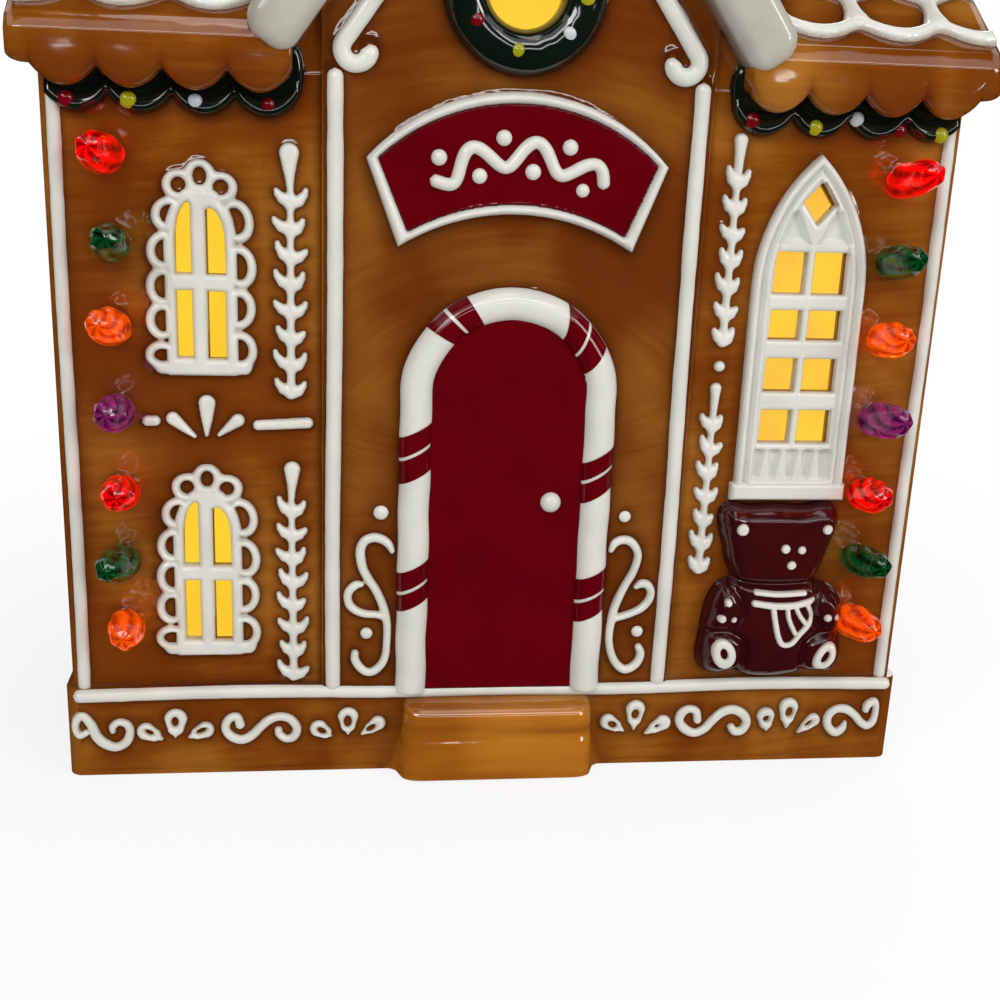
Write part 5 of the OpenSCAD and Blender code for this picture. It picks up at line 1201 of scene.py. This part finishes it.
def barge_board(name, outline, node):
    """A thick board with rounded front edges, from an outline that runs anticlockwise seen from the front."""
    p = np.array(outline, float)
    before, after = unit(p - np.roll(p, 1, 0)), unit(np.roll(p, -1, 0) - p)
    inward = unit(np.stack([-before[:, 1] - after[:, 1], before[:, 0] + after[:, 0]], -1))
    miter = 1 / np.maximum((inward * np.stack([-after[:, 1], after[:, 0]], -1)).sum(1), 0.5)
    turn = np.linspace(0, pi / 2 * 0.97, 9)
    rings = [(0.0, 0.0)] + [(BARGE_BEVEL * (1 - cos(a)), BARGE_OUT - BARGE_BEVEL + BARGE_BEVEL * sin(a))
                            for a in turn]
    rings.append((BARGE_BEVEL + 0.6, BARGE_OUT + 0.05))
    rows = []
    for inset, h in rings:
        q = p + inward * (inset * miter)[:, None]
        rows.append(np.stack([q[:, 0], np.full(len(q), FRONT - h), q[:, 1]], -1))
    n, points = len(p), np.vstack(rows)
    faces = list(grid_faces(len(rings), n, True)) + [np.arange(n) + (len(rings) - 1) * n, np.arange(n)[::-1]]
    return piece(name, points, faces, SHADED_WHITE, [node], {"rim": np.full(len(points), DEEP_RIM)})


def barge_outline():
    """Down the slope from the apex: outer edge, rounded foot, inner edge, and the plumb joint."""
    along, across = (cos(GABLE_PITCH), -sin(GABLE_PITCH)), (-sin(GABLE_PITCH), -cos(GABLE_PITCH))
    local = [(0.0, 0.0)] + [(s, 0.0) for s in np.linspace(12, BARGE_LEN - 5, 8)]
    local += [(BARGE_LEN - 4.6 + 4.6 * sin(a), 4.6 - 4.6 * cos(a)) for a in np.linspace(0, pi / 2, 7)]
    local += [(BARGE_LEN - 3.9 + 3.9 * cos(a), BARGE_W - 3.9 + 3.9 * sin(a))
              for a in np.linspace(0, pi / 2, 7)]
    tail = BARGE_W * tan(GABLE_PITCH)
    local += [(s, BARGE_W) for s in np.linspace(BARGE_LEN - 5, tail + 6, 7)] + [(tail, BARGE_W)]
    points = [(s * along[0] + t * across[0], BARGE_TOP + s * along[1] + t * across[1]) for s, t in local]
    return [(max(x, 0.0), z) for x, z in points]


board = barge_outline()
barge_board("barge_right_icing", board[::-1], "barge_board_right")
barge_board("barge_left_icing", mirrored(board), "barge_board_left")

# Main roof: one closed section in Y and Z, drawn out along X

NET_W, NET_SAG, TILE, TILE_ROW = 4.3, 5.2, 18.0, 15.0
NET_U0 = NET_W * 2.85


def gable_x(u):
    """Where the barge board meets the main roof, by the way up the slope."""
    return (BARGE_TOP - FASCIA - u * sin(PITCH)) / tan(GABLE_PITCH)


def net_shape():
    """Rows of sagging lines, with a short upright from each peak to the row above."""
    parts = []
    for r in range(5):
        u, shift = NET_U0 + TILE_ROW * r, TILE * (r % 2) / 2
        first = floor((gable_x(u) - shift) / TILE)
        for k in range(first, 6):
            x0 = shift + TILE * k
            sag = [(x0 + TILE * t, u - NET_SAG * sin(pi * t) ** 0.85) for t in np.linspace(0, 1, 9)]
            parts.append(line(sag, [NET_W * (0.74 + 0.30 * sin(pi * t)) for t in np.linspace(0, 1, 9)]))
            top = min(u + TILE_ROW - NET_SAG, SLOPE - NET_W)
            parts.append(line([(x0, u + 0.6), (x0 + 0.4 * sin(k * 3 + r), top)], [4.4, 3.4]))
    parts.append(line([(12.0, SLOPE - NET_W), (ROOF_HALF, SLOPE - NET_W)], 3.8))
    run = melt(parts, 1.1)
    edge = ROOF_HALF - 1.2

    def field(x, u):
        room = np.minimum(edge - x, np.minimum(x - gable_x(u) - 0.3, SLOPE - 1.2 - u))
        return np.minimum(run.field(x, u) - 0.25, room)
    return Shape(field, (22.0, edge, NET_U0 - NET_SAG - NET_W / 2 - 0.5, SLOPE - 1.2))


net = net_shape()
for label, side in (("front", 1), ("back", -1)):
    for half in (1, -1):
        name = "roof_icing_%s_%s" % (label, "right" if half > 0 else "left")
        shape = net if half == side else net.mirrored()
        outward(relief(name, shape, iced(2.0, 1.8, 0.14), 0.4, on_roof(side), WHITE, ["roof_icing"]))

# How long the lobes of the front and back eaves are
LOBE, BACK_LOBE = (HALF - GAP) / 4, 2 * HALF / 15


def eave_line(hang, swell):
    """From under the eave, round its lobe and up its face, as places in depth and height."""
    y0, foot, r = EAVE_Y, EAVE - 4.0 * hang, 2.6
    tilts = np.radians(np.concatenate([np.linspace(0, 27, 5), np.linspace(27, 37, 6)[1:],
                                       np.linspace(37, 55, 4)[1:]]))
    radii = np.repeat([1.2, 19.0, 1.2], [4, 5, 3])
    turns, middle = np.diff(tilts), (tilts[1:] + tilts[:-1]) / 2
    back, rise = np.cumsum(radii * turns * np.sin(middle)), np.cumsum(radii * turns * np.cos(middle))
    mid = FASCIA + back[-1] * tan(PITCH) - rise[-1]
    low = [(y0 - 4.9 + 1.2 * hang * (1 - cos(t)) + 2.1 * (1 - hang) * sin(t), EAVE - (EAVE - foot) * sin(t))
           for t in np.linspace(0.2, pi / 2, 5)]
    under = [(y0 - r + swell * 0.4 + r * sin(t), foot + r - r * cos(t)) for t in np.linspace(0, pi / 2, 9)]
    face = [(y0 + swell * s, foot + r + (mid - foot - r) * t)
            for t, s in ((0.2, 1.0), (0.4, 0.8), (0.6, 0.5), (0.8, 0.2))]
    brow = [(y0, mid)] + list(zip(y0 - back, mid + rise))
    return [(DEEP, EAVE + 0.5), (DEEP + 3.4, EAVE + 0.5 - 0.5 * hang)] + low + under + face + brow


def roof_section(x):
    """One section of the roof: the eaves swell and hang in lobes by X, but not under the gable."""
    ax = abs(x)
    lobe = abs(sin(pi * (ax - GAP) / LOBE)) ** 0.8 if GAP <= ax <= HALF else 0.0
    back_lobe = abs(sin(pi * (x + HALF) / BACK_LOBE)) ** 0.8 if ax <= HALF else 0.0
    front, back = eave_line(lobe, 0.7 * lobe), eave_line(back_lobe, 0.7 * back_lobe)
    slope = [(EAVE_Y - v * cos(PITCH), FASCIA + v * sin(PITCH)) for v in np.linspace(3.4, SLOPE - 0.9, 92)]
    front_slope = slope
    if ax < GAP:
        front = [(50.0, EAVE + 0.5 + 14.4 * k / (len(front) - 1)) for k in range(len(front))]
        front_slope = [(min(y, 50.0), max(z, EAVE + 15.0)) for y, z in slope]
    under = FASCIA + EAVE_Y * tan(PITCH) - 5 / cos(PITCH)
    inside = [(y, under - abs(y) * tan(PITCH)) for y in (-ROOM, 0, min(ROOM, front[0][0] - 3.2))]
    loop = [(-y, z) for y, z in front + front_slope] + [(0.0, FASCIA + (SLOPE - 0.35) * sin(PITCH))]
    loop += [(y, z) for y, z in (back + slope)[::-1]]
    return np.array(loop + [(ROOM, EAVE + 0.4)] + [(-y, z) for y, z in inside]
                    + [(-inside[-1][0], EAVE + 0.4)])


def roof_end(loop, start):
    """Closes one end of the roof's shell with triangles from its outside to the corners of its inside."""
    outer, corner, high, half = len(loop) - 5, len(loop) - 5 + start, 163, 27

    def nearest(y, z):
        if y < 0:
            return 4 - int(z > high) - int(y > -half)
        return 2 - int(y > half) - int(y > half and z < high)
    pick = [nearest(y, z) for y, z in loop[:outer]]
    faces = []
    for k in range(outer - 1):
        here, there = pick[k], pick[k + 1]
        faces.append((start + k, start + k + 1, corner + there))
        faces += [(start + k, corner + j - 1, corner + j) for j in range(here, there, -1)]
    return faces


def roof_piece():
    """The whole main roof, whose ends round over within the last millimetres."""
    end_r = 4
    ends = [ROOF_HALF - end_r * (1 - sin(t)) for t in np.linspace(pi / 2, 0.12, 8)]
    fine, middle = list(np.arange(GAP, HALF + 0.4, 0.55)), list(np.arange(1.5 - GAP, GAP - 1.4, 1.5))
    xs = sorted([-x for x in ends + fine] + [-GAP + 0.02, GAP - 0.02] + middle + fine + ends)
    rows = []
    for x in xs:
        loop, over = roof_section(x), max(abs(x) - ROOF_HALF + end_r, 0)
        inset = end_r - sqrt(end_r ** 2 - over ** 2)
        if inset > 0:
            t = unit(unit(np.roll(loop, -1, 0) - loop) + unit(loop - np.roll(loop, 1, 0)))
            loop = loop + np.stack([t[:, 1], -t[:, 0]], -1) * inset * 0.45
        rows.append(np.stack([np.full(len(loop), x), loop[:, 0] + MID, loop[:, 1]], -1))
    points, n = np.vstack(rows), len(rows[0])
    u = (points[:, 2] - FASCIA) / sin(PITCH)
    on_slope, near = points[:, 2] > FASCIA + 0.8, np.full(len(points), -REACH)
    pick = np.nonzero(on_slope)[0]
    near[pick] = np.maximum(net.field(np.abs(points[pick, 0]), u[pick]), -REACH)
    # Darker beside the icing net, as glaze pooling with painted shade; painted shade also darkens the eave's
    # foot, most in the cusps between lobes.
    pool_and_shade = (0.85 * np.exp(-np.maximum(-near, 0) / 0.9) + 0.25 * np.exp(-np.maximum(-near, 0) / 3)) * on_slope
    cusp = 1 - np.abs(np.sin(pi * (np.abs(points[:, 0]) - GAP) / LOBE))
    fade = np.clip((EAVE + 4.5 - points[:, 2]) / 5, 0, 1) * (np.abs(points[:, 0]) < HALF)
    pool_and_shade = np.clip(np.maximum(pool_and_shade, fade * (0.2 + 0.8 * cusp ** 4)), 0, 1)
    ends = roof_end(roof_section(xs[0]), 0) + roof_end(roof_section(xs[-1]), (len(rows) - 1) * n)
    faces = list(grid_faces(len(rows), n, True)) + ends
    return piece("main_roof_glaze", points, faces, BROWN, ["main_roof"],
                 {"pool_and_shade": pool_and_shade, "field": np.clip(-near / 5, 0, 1.2) * on_slope + 0.4 * ~on_slope,
                  "across": points[:, 2] * 1.3, "along": points[:, 0]})


outward(roof_piece())


def gable_piece():
    """The cross gable: a roof shell with a rounded ridge, drawn out from front to back."""
    slope, end, r = tan(GABLE_PITCH), BACK + EAVE_OUT, 2.2
    outer = [(-63.0, EAVE + 1.5)] + [(-x, GABLE_TOP - x * slope) for x in np.arange(54, 6, -4.0)]
    outer += arc(0, GABLE_TOP - 2.0 / cos(GABLE_PITCH), 2.0, 125.5, 54.5, 8)
    outer += mirrored(outer[:13])[::-1]
    loop = np.array(outer + [(57.0, EAVE + 1.5), (0.0, GABLE_TOP - 5 / cos(GABLE_PITCH)),
                             (-57.0, EAVE + 1.5)])
    rows = []
    rounded = [end - r + r * sin(t) for t in np.linspace(0.3, pi / 2, 5)]
    for y in list(np.linspace(FRONT + 0.4, end - r, 30)) + rounded:
        inset = r - sqrt(max(r ** 2 - max(y - end + r, 0) ** 2, 0))
        shift = np.where(np.arange(len(loop)) < len(outer), -inset, inset * 0.5) / cos(GABLE_PITCH)
        rows.append(np.stack([loop[:, 0], np.full(len(loop), y), loop[:, 1] + shift], -1))
    n, points = len(loop), np.vstack(rows)
    faces = list(grid_faces(len(rows), n, True)) + [np.arange(n), np.arange(n) + (len(rows) - 1) * n]
    outward(piece("gable_roof_glaze", points, faces, BROWN, ["gable_roof"],
                  {"field": np.full(n * len(rows), 0.6), "across": points[:, 2] * 1.3,
                   "along": points[:, 1]}), crease=radians(32))


gable_piece()

# The glaze on the front: a thin skin, darkened beside everything that stands on it by glaze pooling and
# painted shade

def glaze_skin(name, shape, out, covers, brush, thick, pool_and_shade_share):
    """A skin over a flat part of the front, with a small rise against relief, and a dark tone beside relief
    and in corners that is glaze pooling together with painted shade.
    """
    cell, (x0, x1, z0, z1) = 0.5, shape.box
    x, z = np.meshgrid(np.arange(x0, x1 + cell, cell), np.arange(z0, z1 + cell, cell))
    quads = grid_faces(*x.shape)
    x, z = x.ravel(), z.ravel()
    room, near = shape.field(x, z), np.full(x.size, -REACH)
    for s in standing:
        a = s.box
        if a[1] > x0 - REACH and a[0] < x1 + REACH and a[3] > z0 - REACH and a[2] < z1 + REACH:
            near = np.maximum(near, s.near(x, z))
    away = np.minimum(np.maximum(-near, 0), np.maximum(covers(x, z), 0))
    h = SKIN + 0.30 * np.exp(-np.maximum(-near, 0) / 0.6)
    h = h + 0.20 * wander(x, z) + 0.05 * wander(x * 4, z * 3, 2.0)
    h = np.where(room > 0.4, np.maximum(h, 0.03), -0.1)
    # thick darkens the whole skin evenly; the share adds a narrow dark rim of pooling and a broader painted
    # shade beside relief.
    pool_and_shade = np.clip(thick + pool_and_shade_share * (0.68 * np.exp(-away / 0.9) + 0.24 * np.exp(-away / 3.4)), 0, 1)
    field = np.clip(away / 9 - 0.15, 0, 1.2)
    used, faces = kept(quads[(room[quads] > -0.001).all(1) & (near[quads] < 1.4).all(1)])
    across, along = brush(x[used], z[used])
    return piece(name, on_front(out)(x[used], z[used], h[used]), faces, BROWN, (),
                 {"pool_and_shade": pool_and_shade[used], "field": field[used], "across": across, "along": along})


def swept(x, z):
    """Strokes sweep round the door's arch, and run level below it."""
    over = z - SWEEP_Z
    r, up = np.hypot(x, np.maximum(over, 0)), np.clip(over / 30, 0, 1)
    return r * up + (z + 30) * (1 - up), np.arctan2(x, np.maximum(over, 1)) * r * up + x * (1 - up)


def level(x, z):
    return z + 2.5 * np.sin(x / 23), x


def box_shape(x0, x1, z0, z1):
    return polygon([(x0, z0), (x1, z0), (x1, z1), (x0, z1)])


SWEEP_Z = 62
slope_z = BARGE_TOP - BARGE_W / cos(GABLE_PITCH)
shoulder = slope_z - BAY * tan(GABLE_PITCH)


def below_barge(x, z):
    """How far below the barge boards a place lies."""
    return (slope_z - np.abs(x) * tan(GABLE_PITCH) - z) * cos(GABLE_PITCH)


bay = [(-BAY, PLINTH - 0.6), (BAY, PLINTH - 0.6), (BAY, shoulder), (0, slope_z), (-BAY, shoulder)]
# Painted shade: the bay is darker all over, and the right wall takes less shade beside relief than the left,
# so that it reads lighter.
glaze_skin("bay_glaze", polygon(bay), BAY_OUT, below_barge, swept, thick=0.37, pool_and_shade_share=0.66)
for s, label, pool_and_shade_share in ((-1, "left", 0.95), (1, "right", 0.55)):
    low, high = sorted((s * (BAY - 0.3), s * (HALF - 1.3)))
    wall = box_shape(low, high, PLINTH - 0.3, EAVE + 0.8)
    glaze_skin("wall_glaze_" + label, wall, 0, lambda x, z: np.abs(x) - BAY, level, thick=0.0, pool_and_shade_share=pool_and_shade_share)
plinth = box_shape(-97.2, 97.2, 0.9, PLINTH - 0.2)
glaze_skin("plinth_glaze", plinth, PLINTH_OUT, lambda x, z: z + 0.6, level, thick=0.0, pool_and_shade_share=0.8)

# Solids that keep their own shape get their finishes
slots = {s["node"]: s["material_slot"] for s in frame["record"]["subparts"]}
own = {"warm_film": FILM, "brown_glaze": BROWN, "amber_glaze": AMBER, **SMALL}
for name, obj in frame["nodes"].items():
    finish = FILM_DEEP if name == "film_tall" else own.get(slots[name])
    if finish:
        obj.data.materials.clear()
        obj.data.materials.append(finish.material)

# Floor, lights and world

def seen_white(nodes, kind, dim, share, end):
    """Mixes in a share of plain white, for what the camera, mirrors and clear things see."""
    camera_ray, gloss_ray, clear_ray = [nodes.node("ShaderNodeLightPath", output="Is %s Ray" % ray)
                                        for ray in ("Camera", "Glossy", "Transmission")]
    seen = nodes.maths("MAXIMUM", nodes.maths("MAXIMUM", camera_ray, gloss_ray), clear_ray)
    white = nodes.node(kind, {"Color": (1, 1, 1, 1)})
    nodes.fill(end, nodes.node("ShaderNodeMixShader", {0: seen * share, 1: Wire(nodes, dim), 2: white}))


def sheet(name, corners, finish, faces=((0, 1, 2, 3),)):
    """A flat sheet that belongs to the room and not to the house."""
    mesh = bpy.data.meshes.new(name)
    mesh.from_pydata(corners, [], faces)
    mesh.materials.append(finish.material)
    obj = bpy.data.objects.new(name, mesh)
    bpy.context.scene.collection.objects.link(obj)
    return obj


def cloth(name, tone):
    f, colour = Finish(name), srgb(tone)
    worn = [c * 0.98 for c in colour[:3]] + [1]
    return f.shade(Base_Color=f.mix(colour, worn, f.noise(3, 2.0)), Roughness=0.9, Specular_IOR_Level=0.0)


def oblong(x, y, z=0):
    """The four corners of a level rectangle about the middle."""
    return [(-x, -y, z), (x, -y, z), (x, y, z), (-x, y, z)]


pale = cloth("floor", (248, 248, 248))
sheet("floor", oblong(3.0, 3.0, -0.0002), pale)
middle = pale.node("ShaderNodeVectorMath", {0: pale.place()}, output=1, operation="LENGTH")
seen_white(pale, "ShaderNodeEmission", pale.shader.outputs[0], pale.ramp(middle, 0.08, 0.34) * 0.2 + 0.8,
           pale.tree.nodes["Material Output"].inputs["Surface"])

# Dark cards round the house, which only its own gloss sees
FAR, TALL, NEAR_X, NEAR_Y0, NEAR_Y1 = 2.2, 1.8, 0.098, -0.053, 0.060
dark = cloth("dark card", (30, 26, 26))
ring = oblong(FAR, FAR) + [(-NEAR_X, NEAR_Y0, 0), (NEAR_X, NEAR_Y0, 0), (NEAR_X, NEAR_Y1, 0),
                           (-NEAR_X, NEAR_Y1, 0)]
cards = [sheet("card on the floor", ring, dark, [(k, (k + 1) % 4, 4 + (k + 1) % 4, 4 + k) for k in range(4)]),
         sheet("card overhead", [(-1.3, -0.8, 1.9), (1.3, -0.8, 1.9), (1.3, 1.2, 1.9), (-1.3, 1.2, 1.9)],
               dark)]
for name, a, b, top in (("card before", (-FAR, -FAR), (FAR, -FAR), TALL),
                        ("card behind", (-FAR, FAR), (FAR, FAR), 1.2),
                        ("card left", (-FAR, -FAR), (-FAR, FAR), TALL),
                        ("card right", (FAR, -FAR), (FAR, FAR), TALL)):
    cards.append(sheet(name, [(*a, 0), (*b, 0), (*b, top), (*a, top)], dark))
for card in cards:
    for kind in ("camera", "diffuse", "transmission", "shadow", "volume_scatter"):
        setattr(card, "visible_" + kind, False)

world = bpy.data.worlds.new("room")
world.use_nodes = True
bpy.context.scene.world = world
ground = world.node_tree.nodes["Background"]
ground.inputs["Color"].default_value = (1, 1, 1, 1)
ground.inputs["Strength"].default_value = ROOM_LIGHT
seen_white(Nodes(world.node_tree), "ShaderNodeBackground", ground.outputs[0], 1.0,
           world.node_tree.nodes["World Output"].inputs["Surface"])


def soft_box(name, place, aim, width, height, power, colour=(1, 1, 1)):
    """A lamp with a broad face, turned to where it aims."""
    data = bpy.data.lights.new(name, "AREA")
    data.shape, data.size, data.size_y, data.energy, data.color = "RECTANGLE", width, height, power, colour
    obj = bpy.data.objects.new(name, data)
    obj.location = place
    obj.rotation_euler = (Vector(aim) - Vector(place)).to_track_quat("-Z", "Y").to_euler()
    bpy.context.scene.collection.objects.link(obj)


soft_box("key", (-0.75, -1.0, 0.85), (0, 0, 0.12), 0.5, 0.34, 4.6)
soft_box("fill", (0.95, -0.9, 0.5), (0, 0, 0.1), 0.28, 0.6, 5.4, (1.0, 0.96, 0.94))
soft_box("strip", (0.05, -0.95, 1.0), (0, 0, 0.12), 1.5, 0.2, 4.8, (1.0, 0.92, 0.91))
soft_box("low strip", (0.05, -1.0, 0.5), (0, 0, 0.13), 1.3, 0.07, 1.9, (1.0, 0.98, 0.97))
soft_box("top", (0.15, -0.15, 1.1), (0, 0, 0.15), 0.9, 0.35, 2.4, (1.0, 0.92, 0.9))
soft_box("back", (0.3, 1.1, 0.8), (0, 0, 0.12), 0.8, 0.6, 6)
